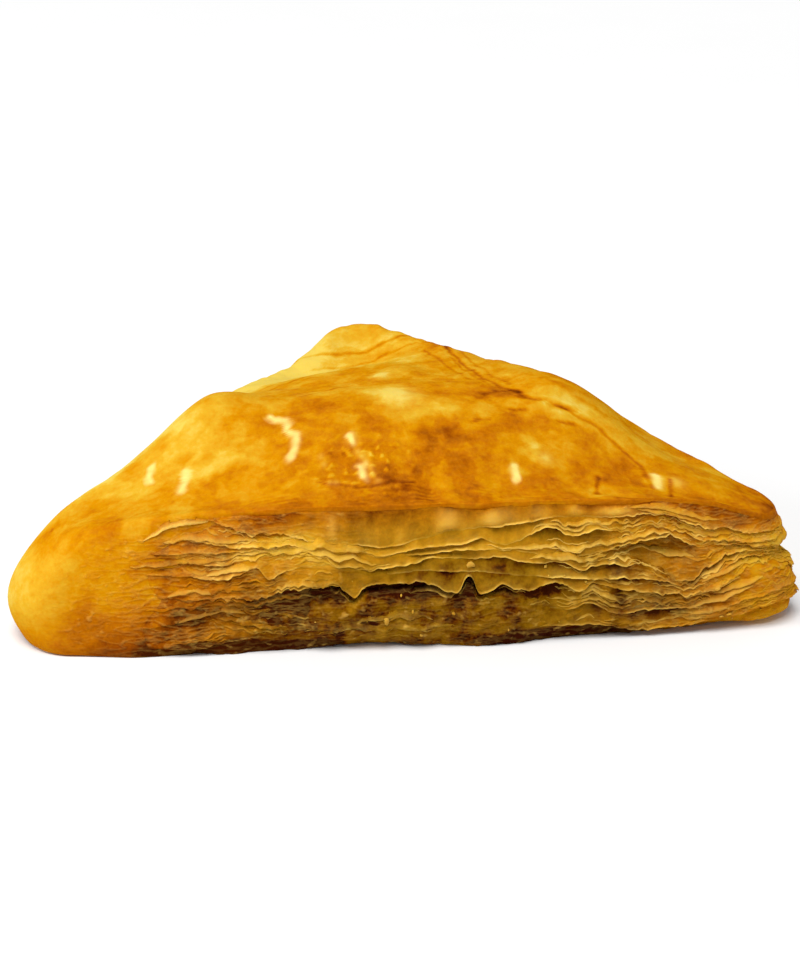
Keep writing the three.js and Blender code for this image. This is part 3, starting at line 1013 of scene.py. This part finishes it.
def sheet_section(cols, upper, lip, number):
    """The section of the sheet that hangs from the upper lip down to its own."""
    root = upper.depth + upper.overhang
    drop = upper.height - lip.height
    band = np.minimum(BAND_HEIGHT + SHUT_BAND * (1 - cols.open), BAND_MOST * drop)
    curl = LIP_CURL * lip.strength
    folds = ring_sum(cols.u, SHEET_FOLDS, number)
    pillow = pillows(cols) if number == 1 else np.zeros(cols.u.shape)
    top = upper.height + (FIRST_RISE if number == 1 else ROOT_RISE)
    section = [SectionPoint(top, root + ROOT_INSET, 0, 1), SectionPoint(upper.height, root, 0, 1)]
    for step in FACE_SHARES:
        height = upper.height - (drop - band) * step
        swell = math.sin(FACE_TURN * step)
        depth = face_depth(upper, lip, (upper.height - height) / drop)
        depth = depth + cols.open * swell * (folds - PILLOW_DEPTH * pillow)
        section.append(SectionPoint(height, depth, FACE_PALES * step ** 2, (1 - step) ** 2, pillow * swell))
    for step in BAND_SHARES:
        height = lip.height + band * (1 - step)
        depth = face_depth(upper, lip, (upper.height - height) / drop) - curl * step ** 2
        pale = FACE_PALES + (1 - FACE_PALES) * step ** 3
        section.append(SectionPoint(height, depth, pale, 0, pillow * (1 - step) / 2))
    tip = lip.depth - curl
    return section + [
        SectionPoint(lip.height, tip, 1, 0),
        SectionPoint(lip.height - 0.4 * LIP_THICKNESS, tip + 0.4 * LIP_THICKNESS, 0.9, 0.1),
        SectionPoint(lip.height + 0.1, tip + 1.1 * LIP_THICKNESS, 0.3, 0.6),
        SectionPoint(upper.height - 0.5 * drop, face_depth(upper, lip, 0.5) + BACK_DEPTH, 0, 1),
        SectionPoint(top, root + BACK_INSET, 0, 1),
    ]


# Numbers at each point that the materials read, where a piece gives none of its own.
PLAIN = {"glaze": 0, "lip": 0, "gloss_and_glint": 0, "crinkle": 0}


def new_piece(name, points, faces, material, attributes):
    """A smooth mesh object, from points in millimetres, with a number at each point for each attribute."""
    mesh = bpy.data.meshes.new(name)
    mesh.from_pydata(((points - OFFSET) * MM).tolist(), [], faces)
    mesh.polygons.foreach_set("use_smooth", np.ones(len(mesh.polygons), bool))
    for key, values in (PLAIN | attributes).items():
        values = np.broadcast_to(values, len(points)).astype(np.float32)
        mesh.attributes.new(key, "FLOAT", "POINT").data.foreach_set("value", values)
    mesh.materials.append(material)
    mesh.update()
    piece = bpy.data.objects.new(name, mesh)
    bpy.context.scene.collection.objects.link(piece)
    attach(piece, "root")
    return piece


def ring_faces(rows, count, start=0, close_rows=False):
    """Quads of a grid whose columns go right round, and whose rows do too if asked."""
    row = np.arange(rows if close_rows else rows - 1)[:, None] * count
    above = (row + count) % (rows * count)
    column = np.arange(count)[None, :]
    after = (column + 1) % count
    quads = np.stack([row + column, row + after, above + after, above + column], -1)
    return (quads.reshape(-1, 4) + start).tolist()


def capped_faces(rows, count):
    """Quads of such a grid, closed at both ends by fans to two points that come after it."""
    faces = ring_faces(rows, count)
    last = (rows - 1) * count
    for column in range(count):
        after = (column + 1) % count
        faces.append((after, column, rows * count))
        faces.append((last + column, last + after, rows * count + 1))
    return faces


# Materials. Tones are linear colours from pale to burnt: (browning, colour).
CRUST_TONES = [
    (0.0, (0.67, 0.48, 0.075)), (0.2, (0.62, 0.345, 0.018)), (0.42, (0.565, 0.226, 0.001)),
    (0.6, (0.45, 0.134, 0.001)), (0.8, (0.25, 0.055, 0.001)), (1.0, (0.07, 0.012, 0.001)),
]
DOUGH_TONES = [
    (0.0, (0.80, 0.42, 0.05)), (0.3, (0.62, 0.31, 0.018)), (0.55, (0.46, 0.205, 0.006)),
    (0.78, (0.255, 0.117, 0.003)), (0.88, (0.17, 0.066, 0.001)), (0.95, (0.1, 0.024, 0.001)),
    (1.0, (0.035, 0.005, 0.001)),
]
LIP_TONE = (0.98, 0.585, 0.11, 1)
# A painted highlight: the colour that glaze runs and, faintly, blisters are mixed towards, and by how much.
# The same numbers raise the coat.
PAINTED_GLINT_TONE = (0.94, 0.82, 0.36, 1)
RUN_GLOSS_AND_GLINT = 0.68
BLISTER_GLOSS_AND_GLINT = 0.12
# Fine level lines of torn dough: length, flatness, width, height, how much paler they are, and how dark the
# painted shadow is that far under them.
CRINKLE_SIZE = 6
CRINKLE_FLAT = 4
CRINKLE_WIDTH = 0.075
CRINKLE_HEIGHT = 0.11
CRINKLE_PALES = 0.22
CRINKLE_SHADOW_BROWNS = 0.11
CRINKLE_SHADE = 0.4
# Small pale flecks: size, how much paler, and height.
FLECK_SIZE = 2.2
FLECK_PALES = 0.3
FLECK_HEIGHT = 0.18
# Share of their paleness that lines and flecks keep under the glaze.
GLAZED_PALES = 0.6
# How crinkled the top of the crust and the dough are.
TOP_CRINKLE = 0.12
DOUGH_CRINKLE = 0.3
# How brown the hidden middle of the crust's underside is, and how brown and glazed the dough's ends are.
HIDDEN_TONE = 0.4
DOUGH_ENDS = (0.6, 0.6)


class Nodes:
    """Adds nodes to a material and joins them."""

    def __init__(self, name):
        self.material = bpy.data.materials.new(name)
        self.material.use_nodes = True
        self.tree = self.material.node_tree
        self.shader = self.tree.nodes["Principled BSDF"]

    def set(self, node, inputs):
        for key, value in inputs.items():
            if isinstance(value, bpy.types.NodeSocket):
                self.tree.links.new(value, node.inputs[key])
            else:
                node.inputs[key].default_value = value

    def add(self, kind, inputs, **settings):
        node = self.tree.nodes.new(kind)
        for key, value in settings.items():
            setattr(node, key, value)
        self.set(node, inputs)
        return node

    def math(self, operation, *values):
        return self.add("ShaderNodeMath", dict(enumerate(values)), operation=operation).outputs["Value"]

    def product(self, first, second):
        return self.math("MULTIPLY", first, second)

    def sum(self, first, second):
        return self.math("ADD", first, second)

    def attribute(self, name):
        return self.add("ShaderNodeAttribute", {}, attribute_name=name).outputs["Fac"]

    def scaled(self, value, low, high, to_low, to_high):
        inputs = {"Value": value, "From Min": low, "From Max": high, "To Min": to_low, "To Max": to_high}
        return self.add("ShaderNodeMapRange", inputs).outputs["Result"]

    def noise(self, size, detail=3, flat=1, lift=0):
        """Noise from 0 to 1 with lumps of that size in millimetres, flatter than wide and lifted."""
        place = self.add("ShaderNodeTexCoord", {}).outputs["Object"]
        moved = {0: place, 1: (1, 1, flat), 2: (0, 0, -lift * flat * MM)}
        place = self.add("ShaderNodeVectorMath", moved, operation="MULTIPLY_ADD").outputs["Vector"]
        inputs = {"Vector": place, "Scale": 1 / (size * MM), "Detail": detail}
        return self.add("ShaderNodeTexNoise", inputs).outputs["Fac"]

    def crinkles(self, lift=0):
        """Thin wandering level lines, 1 on them and 0 between them."""
        away = self.math("ABSOLUTE", self.sum(self.noise(CRINKLE_SIZE, 4, CRINKLE_FLAT, lift), -0.5))
        return self.product(self.scaled(away, 0, CRINKLE_WIDTH, 1, 0), self.attribute("crinkle"))

    def flecks(self):
        """Small scattered flecks, 1 on them and 0 between them."""
        shows = self.scaled(self.attribute("crinkle"), 0.13, 0.3, 0, 1)
        return self.product(self.scaled(self.noise(FLECK_SIZE, 1, 1.4), 0.62, 0.8, 0, 1), shows)

    def mix(self, share, first, second):
        """A colour between two others. The node's colour sockets are 6 and 7, and its result is 2."""
        return self.add("ShaderNodeMix", {0: share, 6: first, 7: second}, data_type="RGBA").outputs[2]

    def ramp(self, value, tones):
        node = self.add("ShaderNodeValToRGB", {"Fac": value})
        elements = node.color_ramp.elements
        while len(elements) < len(tones):
            elements.new(1)
        for element, (at, colour) in zip(elements, tones):
            element.position = at
            element.color = (*colour, 1)
        return node.outputs["Color"]

    def bump(self, value, height, normal=None):
        inputs = {"Height": value, "Distance": height * MM}
        if normal is not None:
            inputs["Normal"] = normal
        return self.add("ShaderNodeBump", inputs).outputs["Normal"]


def pastry_colour(nodes, mottling):
    """Colour from the attributes of tone with painted light, glaze, lip and painted glint, with mottling:
    (size, change) pairs.
    """
    tone = nodes.attribute("browning_and_light")
    for size, change in mottling:
        tone = nodes.sum(tone, nodes.scaled(nodes.noise(size), 0.25, 0.75, -change, change))
    # Painted shadow under each crinkle line.
    tone = nodes.sum(tone, nodes.product(nodes.crinkles(-CRINKLE_SHADE), CRINKLE_SHADOW_BROWNS))
    glaze = nodes.attribute("glaze")
    colour = nodes.mix(glaze, nodes.ramp(tone, DOUGH_TONES), nodes.ramp(tone, CRUST_TONES))
    flecks = nodes.product(nodes.flecks(), FLECK_PALES)
    torn = nodes.sum(flecks, nodes.product(nodes.crinkles(), CRINKLE_PALES))
    torn = nodes.product(torn, nodes.scaled(glaze, 0, 1, 1, GLAZED_PALES))
    colour = nodes.mix(nodes.sum(torn, nodes.attribute("lip")), colour, LIP_TONE)
    # Painted highlight on the glaze runs and blisters.
    return nodes.mix(nodes.attribute("gloss_and_glint"), colour, PAINTED_GLINT_TONE)


def pastry_material(name, mottling, grain, roughness, coat, translucency):
    """Baked dough: grain is (size, height) of its bumps, and roughness its lowest and highest."""
    nodes = Nodes(name)
    normal = None
    for size, height in grain:
        normal = nodes.bump(nodes.noise(size), height, normal)
    normal = nodes.bump(nodes.crinkles(), CRINKLE_HEIGHT, normal)
    normal = nodes.bump(nodes.flecks(), FLECK_HEIGHT, normal)
    nodes.set(nodes.shader, {
        "Base Color": pastry_colour(nodes, mottling),
        "Roughness": nodes.scaled(nodes.noise(5), 0.3, 0.7, *roughness),
        "Coat Weight": nodes.sum(nodes.attribute("gloss_and_glint"), nodes.scaled(nodes.noise(8), 0.45, 0.65, 0, coat)),
        "Coat Roughness": 0.2,
        "Coat IOR": 1.3,
        "Coat Tint": (1, 0.9, 0.6, 1),
        "Specular IOR Level": 0,
        "Subsurface Weight": translucency,
        "Subsurface Radius": (1, 0.45, 0.1),
        "Subsurface Scale": 2 * MM,
        "Normal": normal,
    })
    return nodes.material


def crust_crinkles(cols, points):
    """How crinkled the crust is: faintly over the top, and as much as the sides where it runs down them."""
    column = np.arange(len(points)) % len(cols.u)
    below = rises(-1, 10, cols.rim[column] - points[:, 2])
    return TOP_CRINKLE + (cols.crinkled[column] - TOP_CRINKLE) * below


def make_crust(material):
    cols = Columns(evenly_round(CRUST_COLUMNS))
    rows, tone = crust_rows(cols)
    poles = [[*MIDDLE, crown_height(*MIDDLE) / 2], [*MIDDLE, rows[-1, :, 2].mean()]]
    points = np.concatenate([rows.reshape(-1, 3), poles])
    x, y = points[:, 0], points[:, 1]
    return new_piece("crust", points, capped_faces(*rows.shape[:2]), material, {
        "browning_and_light": np.concatenate([tone.reshape(-1), [HIDDEN_TONE, tone[-1].mean()]]),
        "glaze": 1,
        # Gloss, and a painted highlight, on the glaze runs and blisters.
        "gloss_and_glint": RUN_GLOSS_AND_GLINT * glaze_runs_and_glints(x, y) + BLISTER_GLOSS_AND_GLINT * blisters(x, y),
        "crinkle": crust_crinkles(cols, points),
    })


def make_dough(material):
    cols = Columns(evenly_round(DOUGH_COLUMNS))
    rows = dough_rows(cols)
    heights = rows[..., 2]
    points = np.concatenate([rows.reshape(-1, 3), [[*MIDDLE, 0], [*MIDDLE, EAR_HEIGHT]]])
    return new_piece("dough", points, capped_faces(*rows.shape[:2]), material, {
        "browning_and_light": np.concatenate([wall_browning_and_light(cols, heights).reshape(-1), DOUGH_ENDS]),
        "glaze": np.concatenate([wall_glaze(cols, heights).reshape(-1), DOUGH_ENDS]),
        "crinkle": DOUGH_CRINKLE,
    })


def hidden_root(cols, upper, lip):
    """The crust's lip as the first sheet hangs from it: lower where the sheet's root would show."""
    height = np.maximum(upper.height - ROOT_DROP * (1 - cols.sinks), lip.height + LEAST_GAP)
    return replace(upper, height=height)


def root_shade_strength(upper, number):
    """How dark the painted shade at a sheet's root is: darker where the lip above stands off more freely."""
    if number == 1:
        return FIRST_ROOT_SHADE
    return (0.25 + 0.75 * upper.strength) * (LOW_ROOT_SHADE if number > HEM + 1 else 1)


def make_layers(name, cols, lips, first, last, material):
    """One piece of the sheets whose lips are numbered first to last."""
    points, faces = [], []
    browning_and_light, glaze, near_lip, crinkle = [], [], [], []
    for number in range(first, last + 1):
        lip = lips[number]
        upper = hidden_root(cols, lips[0], lip) if number == 1 else lips[number - 1]
        section = sheet_section(cols, upper, lip, number)[::-1]
        faces += ring_faces(len(section), len(cols.u), len(points) * len(cols.u), close_rows=True)
        own_tone = np.random.default_rng(SHEET_SEED + number).uniform(-SHEET_SPREAD, SHEET_SPREAD)
        # Painted shade on each sheet's root, under the lip above it.
        root_shade = ROOT_SHADE_BROWNS * root_shade_strength(upper, number) * cols.open
        pale = LIP_SHOWS * lip.pale * (0.4 + 0.6 * lip.strength)
        for point in section:
            points.append(cols.place(point.height, point.depth))
            tone = wall_browning_and_light(cols, point.height) + own_tone
            browning_and_light.append(tone + root_shade * point.root - PILLOW_PALES * point.pillow)
            glaze.append(wall_glaze(cols, point.height))
            near_lip.append(point.lip * pale + PLEAT_SHOWS * point.pillow)
            crinkle.append(cols.crinkled)
    attributes = {"browning_and_light": browning_and_light, "glaze": glaze, "lip": near_lip, "crinkle": crinkle}
    attributes = {key: np.concatenate(values) for key, values in attributes.items()}
    return new_piece(name, np.concatenate(points), faces, material, attributes)


# Torn strips along the sides: thickness, taper, crinkles, how much paler, and distance under the rim.
STRIP_THICKNESS = 0.18
STRIP_TAPER = 0.6
STRIP_CRINKLE = 0.3
STRIP_PALES = 0.04
UNDER_RIM = 1


@dataclass
class Strips:
    """Torn strips: height of the lower edge, fall from the root down to it, stand-off and paleness."""

    edge: np.ndarray
    fall: np.ndarray
    stand: np.ndarray
    pale: np.ndarray


def strip_section(fall, stand, taper):
    """A strip's section from its root: height over the lower edge, depth past the surface, share of lip."""
    thick = STRIP_THICKNESS * taper
    return [
        (0.6 * fall, 0.35 * taper, 0),
        (0.12 * fall, thick - stand, 0.4),
        (-0.3 * thick, 0.4 * thick - stand, 1),
        (0.05 * fall, -stand, 1),
        (0.25 * fall, -0.75 * stand, 0.8),
        (0.55 * fall, -0.3 * stand, 0.25),
        (fall, 0.25, 0),
    ]


def strip_faces(section, strips, steps):
    """Quads of closed strips with flat ends, whose points run round the section, then along the strip."""
    faces = []
    for strip in range(strips):
        first = strip * steps * section
        last = first + (steps - 1) * section
        for start in range(first, last, section):
            for i in range(section):
                after = (i + 1) % section
                faces.append((start + i, start + section + i, start + section + after, start + after))
        faces.append(tuple(range(first, first + section)))
        faces.append(tuple(range(last + section - 1, last - 1, -1)))
    return faces


def make_strips(name, cols, strips, surface, material):
    """Strips whose columns run along them, on a surface given as depth by height."""
    taper = (1 - np.linspace(-1, 1, cols.u.shape[1]) ** 2) ** STRIP_TAPER
    section = strip_section(strips.fall * taper, strips.stand * taper, taper)
    points, browning_and_light, glaze, near_lip = [], [], [], []
    for rise, off, lip in section:
        height = np.minimum(strips.edge + rise, cols.rim - UNDER_RIM)
        points.append(cols.place(height, surface(height) + off))
        browning_and_light.append(wall_browning_and_light(cols, height) - STRIP_PALES)
        glaze.append(wall_glaze(cols, height))
        near_lip.append(np.broadcast_to(lip * LIP_SHOWS * strips.pale, height.shape))
    points = np.stack(points, 2).reshape(-1, 3)
    attributes = {"browning_and_light": browning_and_light, "glaze": glaze, "lip": near_lip}
    attributes = {key: np.stack(values, 2).reshape(-1) for key, values in attributes.items()}
    attributes["crinkle"] = STRIP_CRINKLE
    return new_piece(name, points, strip_faces(len(section), *cols.u.shape), material, attributes)


@dataclass
class FlakeKind:
    """Flakes on the sheets: tries, steps along each, lowest and highest sizes, and how many lie low."""

    tries: int
    steps: int
    seed: int
    length: tuple
    height: tuple
    stand: tuple
    below_hem: float


SHORT_FLAKES = FlakeKind(1100, 20, 81, (4, 16), (0.4, 1.5), (0.1, 0.45), 0.3)
LONG_FLAKES = FlakeKind(240, 40, 87, (18, 52), (1, 2.6), (0.25, 0.8), 0.1)
# Small flakes are more common than large ones by this power.
SIZE_POWER = 1.6
# Share of the way round from the left corner that flakes keep clear of, and how much it differs.
NOSE_END = 0.08
NOSE_END_SPREAD = (-0.02, 0.05)
LEAST_HALF = 0.2
FACE_PLACES = (0.2, 0.95)
FLAKES_PALE = (0.3, 1)
EDGE_TEARS = [(0.84, 3, 82), (0.42, 1.1, 83)]
# Flakes lie this far apart on the noise that tears them.
FLAKE_APART = 50


def flake_places(kind):
    """The flakes' shares of the way round, sheets, shares of the face, lengths, heights and stand-offs."""
    rng = np.random.default_rng(kind.seed)
    u = rng.uniform(0, 1, kind.tries)
    cols = Columns(u)
    sheet = rng.integers(1, len(LIPS), kind.tries)
    shows = cols.amount(FLAKES_SHOW)
    shows = np.where(sheet > HEM, np.maximum(shows, kind.below_hem), shows)
    keep = rng.uniform(0, 1, kind.tries) < shows * rises(0.15, 0.5, cols.open)
    keep &= cols.from_left > NOSE_END + 0.01
    count = int(keep.sum())
    face = rng.uniform(*FACE_PLACES, count)
    sizes = []
    for low, high in (kind.length, kind.height, kind.stand):
        sizes.append(low + (high - low) * rng.uniform(0, 1, count) ** SIZE_POWER)
    return u[keep], sheet[keep], face, *sizes


def pick(lips, numbers):
    """For each flake, its own lip out of the list."""
    values = np.array([astuple(lip) for lip in lips])
    return Lip(*values[numbers, :, np.arange(len(numbers))].swapaxes(0, 1))


def wall_surface(cols, upper, lower, height):
    """Depth of what shows at a height between two lips: the sheet, the dough or the crust."""
    share = np.clip((upper.height - height) / (upper.height - lower.height), 0, 1)
    crust = np.where(cols.cover > 0.9, skirt_depth(cols, height), np.inf)
    return np.minimum(np.minimum(face_depth(upper, lower, share), dough_depth(cols, height)), crust)


def make_flakes(name, kind, material):
    u, sheet, face, length, fall, stand = flake_places(kind)
    limit = NOSE_END + np.random.default_rng(kind.seed + 6).uniform(*NOSE_END_SPREAD, len(u))
    half = length / (2 * PERIMETER)
    start = np.maximum(u - half, np.minimum(limit, u - LEAST_HALF * half))
    end = np.minimum(u + half, np.maximum(1 - limit, u + LEAST_HALF * half))
    cols = Columns(np.linspace(start, end, kind.steps, axis=1))
    lips = stacked_lips(cols)
    upper, lower = pick(lips, sheet), pick(lips, sheet + 1)
    own = FLAKE_APART * np.arange(len(u))[:, None]
    edge = upper.height + (lower.height - upper.height) * face[:, None]
    edge = edge + field_sum(cols.along, own, EDGE_TEARS)
    fall = fall[:, None] * (1 + 0.4 * field_noise(cols.along, own, 4, 84))
    stand = stand[:, None] * (1 + 0.5 * field_noise(cols.along, own, 2.5, 85))
    shows = np.random.default_rng(kind.seed + 5).uniform(*FLAKES_PALE, len(u))[:, None] * lower.pale

    def surface(height):
        return wall_surface(cols, upper, lower, height)

    return make_strips(name, cols, Strips(edge, fall, stand, shows), surface, material)


# Ridges of peeled glaze at both ends of the front: paleness and points of the lower edge as (x, height).
PEELS = [
    (0.9, [(-64, 28.4), (-59.5, 31.2), (-55, 32.4), (-48, 32.8)]),
    (0.35, [(-61, 27.5), (-52, 29.2), (-44, 28.2), (-36, 28.8)]),
    (0.2, [(-66, 22.5), (-54, 23), (-40, 24.5)]),
    (0.6, [(-48, 20.4), (-42, 21.4), (-36, 22.2)]),
    (0.3, [(-57, 15), (-50, 16.6), (-45, 15.6)]),
    (0.2, [(-55, 8.8), (-43, 11.2), (-38, 10.4)]),
    (0.25, [(53, 33.4), (60, 32.8), (66, 31), (71, 29.4), (77, 28.6)]),
    (0.25, [(55, 32.6), (61, 31.6), (67, 29.6), (72, 28)]),
    (0.4, [(66, 9.6), (73, 11.2), (80, 14.2)]),
    (0.3, [(70, 13.4), (76, 15.6), (83, 18)]),
    (0.4, [(67, 7.4), (75, 8.8), (83, 12)]),
    (0.3, [(73, 10.2), (79, 11.4), (86, 14)]),
    (0.3, [(62, 6), (70, 5.4), (79, 7)]),
    (0.4, [(58, 21.5), (63, 19.6), (69, 19.8)]),
]
PEEL_STEPS = 70
PEEL_HEIGHT = 2
PEEL_STAND = 0.7
PEEL_TEARS = [(0.35, 3, 95), (0.15, 1.1, 96)]


def visible_depth(cols, height):
    """Depth of what shows at a height of the wall."""
    lips = stacked_lips(cols)
    depth = dough_depth(cols, height)
    for upper, lower in zip(lips, lips[1:]):
        between = (height <= upper.height) & (height > lower.height)
        depth = np.where(between, wall_surface(cols, upper, lower, height), depth)
    return depth


def make_peels(material):
    x = np.array([np.linspace(line[0][0], line[-1][0], PEEL_STEPS) for _, line in PEELS])
    edge = np.array([np.interp(row, *np.array(line).T) for row, (_, line) in zip(x, PEELS)])
    cols = Columns(front_u(x))
    edge = edge + field_sum(x, edge, PEEL_TEARS)
    stand = PEEL_STAND * (1 + 0.5 * field_noise(x, edge, 4, 97))
    shows = np.array([paleness for paleness, _ in PEELS])[:, None]

    def surface(height):
        return visible_depth(cols, height)

    return make_strips("peels", cols, Strips(edge, PEEL_HEIGHT, stand, shows), surface, material)


# Crumbs on the sides: the larger ones in front as (x, height, half length), and small ones all round.
CRUMBS = [
    (14.5, 21.6, 1.3), (-5.2, 8.2, 1.1), (1, 10.2, 0.7), (10.5, 9.4, 0.9), (3.2, 4.2, 0.7), (77, 5, 0.9),
]
SMALL_CRUMBS = 60
SMALL_HEIGHTS = (1.5, 24)
SMALL_SIZES = (0.2, 0.6)
CRUMB_SEED = 91
CRUMB_PROUD = 0.3
CRUMB_LUMPS = 0.6
CRUMB_FLAT = (0.35, 1)
CRUMBS_PALE = (0.1, 0.5)
CRUMBS_BROWN = (0.5, 0.75)


def ball():
    """Points and faces of a ball of radius 1."""
    mesh = bmesh.new()
    bmesh.ops.create_icosphere(mesh, subdivisions=2, radius=1)
    points = np.array([vert.co[:] for vert in mesh.verts])
    faces = np.array([[vert.index for vert in face.verts] for face in mesh.faces])
    mesh.free()
    return points, faces


def crumb_places():
    """Places of the crumbs: share of the way round, height and half length."""
    rng = np.random.default_rng(CRUMB_SEED)
    u = rng.uniform(0, 1, SMALL_CRUMBS)
    small = np.array([u, rng.uniform(*SMALL_HEIGHTS, SMALL_CRUMBS), rng.uniform(*SMALL_SIZES, SMALL_CRUMBS)])
    x, height, size = np.array(CRUMBS).T
    return np.concatenate([[front_u(x), height, size], small[:, Columns(u).open > 0.5]], 1)


def make_crumbs(material):
    u, height, size = crumb_places()
    cols = Columns(u)
    centres = cols.place(height, visible_depth(cols, height) - CRUMB_PROUD * size)
    shape, faces = ball()
    rng = np.random.default_rng(CRUMB_SEED + 1)
    points, all_faces = [], []
    for number, centre in enumerate(centres):
        lumps = field_noise(shape[:, 0] + 5 * number, shape[:, 1] + shape[:, 2], 0.8, CRUMB_SEED + 2)
        own = shape * (1 + CRUMB_LUMPS * lumps)[:, None] * rng.uniform(*CRUMB_FLAT, 3)
        points.append(centre + own * size[number])
        all_faces += (faces + number * len(shape)).tolist()
    return new_piece("crumbs", np.concatenate(points), all_faces, material, {
        "lip": np.repeat(rng.uniform(*CRUMBS_PALE, len(centres)), len(shape)),
        "browning_and_light": np.repeat(rng.uniform(*CRUMBS_BROWN, len(centres)), len(shape)),
    })


# The finishes and the pieces.
crust_finish = pastry_material("glazed_crust", [(7, 0.08), (2.2, 0.06), (0.9, 0.05)],
                               [(3.5, 0.25), (0.9, 0.09)], (0.3, 0.5), 0.04, 0.1)
dough_finish = pastry_material("baked_dough", [(6, 0.06), (2.2, 0.08), (0.8, 0.05)],
                               [(2.2, 0.3), (0.7, 0.15)], (0.4, 0.65), 0.06, 0.15)
sheet_finish = pastry_material("thin_sheets", [(5, 0.08), (1.8, 0.08), (0.7, 0.04)],
                               [(2.2, 0.2), (0.7, 0.1)], (0.4, 0.62), 0.02, 0.2)

crust = make_crust(crust_finish)
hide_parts("pastry")
make_dough(dough_finish)
sheet_columns = Columns(evenly_round(SHEET_COLUMNS))
all_lips = stacked_lips(sheet_columns)
for name, first, last in (("layers_top", 1, 3), ("layers_middle", 4, 6), ("layers_bottom", 7, 8)):
    make_layers(name, sheet_columns, all_lips, first, last, sheet_finish)
make_flakes("flakes", SHORT_FLAKES, sheet_finish)
make_flakes("long_flakes", LONG_FLAKES, sheet_finish)
make_peels(sheet_finish)
make_crumbs(sheet_finish)

# Stage, light and camera.
TARGET = Vector((np.array([2.2, 46.6, 21.1]) - OFFSET) * MM)
VIEW_AZIMUTH = math.radians(-5)
VIEW_ELEVATION = math.radians(22)
VIEW_DISTANCE = 0.65
LENS = 96.9
FLOOR_SIZE = 8
FLOOR_TONES = (0.84, 0.86)
WORLD_TONE = 0.4
SUN_FROM = Vector((-0.14, -0.4, 0.9))
SUN_STRENGTH = 2.6
SUN_SPREAD = math.radians(35)
WINDOW_PLACE = Vector((-0.6, -0.22, 0.38))
WINDOW_SIZE = 0.18
WINDOW_WATTS = 1.8


def make_floor():
    bpy.ops.mesh.primitive_plane_add(size=FLOOR_SIZE)
    floor = bpy.context.object
    floor.name = "floor"
    nodes = Nodes("floor")
    tone = nodes.scaled(nodes.noise(60), 0, 1, *FLOOR_TONES)
    nodes.set(nodes.shader, {"Base Color": tone, "Roughness": 0.9, "Specular IOR Level": 0.1})
    floor.data.materials.append(nodes.material)


def add_aimed(data, place, direction):
    """An object for a lamp or a camera at that place, which looks in that direction."""
    item = bpy.data.objects.new(data.name, data)
    item.location = place
    item.rotation_euler = direction.to_track_quat("-Z", "Y").to_euler()
    bpy.context.scene.collection.objects.link(item)
    return item


def make_lights():
    overhead = bpy.data.lights.new("overhead", "SUN")
    overhead.energy = SUN_STRENGTH
    overhead.angle = SUN_SPREAD
    add_aimed(overhead, SUN_FROM, -SUN_FROM)
    window = bpy.data.lights.new("window", "AREA")
    window.energy = WINDOW_WATTS
    window.size = WINDOW_SIZE
    add_aimed(window, WINDOW_PLACE, -WINDOW_PLACE)


def make_camera():
    camera = bpy.data.cameras.new("camera")
    camera.lens = LENS
    level = math.cos(VIEW_ELEVATION)
    back = Vector((math.sin(VIEW_AZIMUTH) * level, -math.cos(VIEW_AZIMUTH) * level, math.sin(VIEW_ELEVATION)))
    bpy.context.scene.camera = add_aimed(camera, TARGET + back * VIEW_DISTANCE, -back)


def make_world():
    world = bpy.data.worlds.new("world")
    bpy.context.scene.world = world
    world.use_nodes = True
    background = world.node_tree.nodes["Background"]
    background.inputs["Color"].default_value = (WORLD_TONE, WORLD_TONE, WORLD_TONE, 1)
    bpy.context.scene.view_settings.view_transform = "Standard"


make_world()
make_floor()
make_lights()
make_camera()
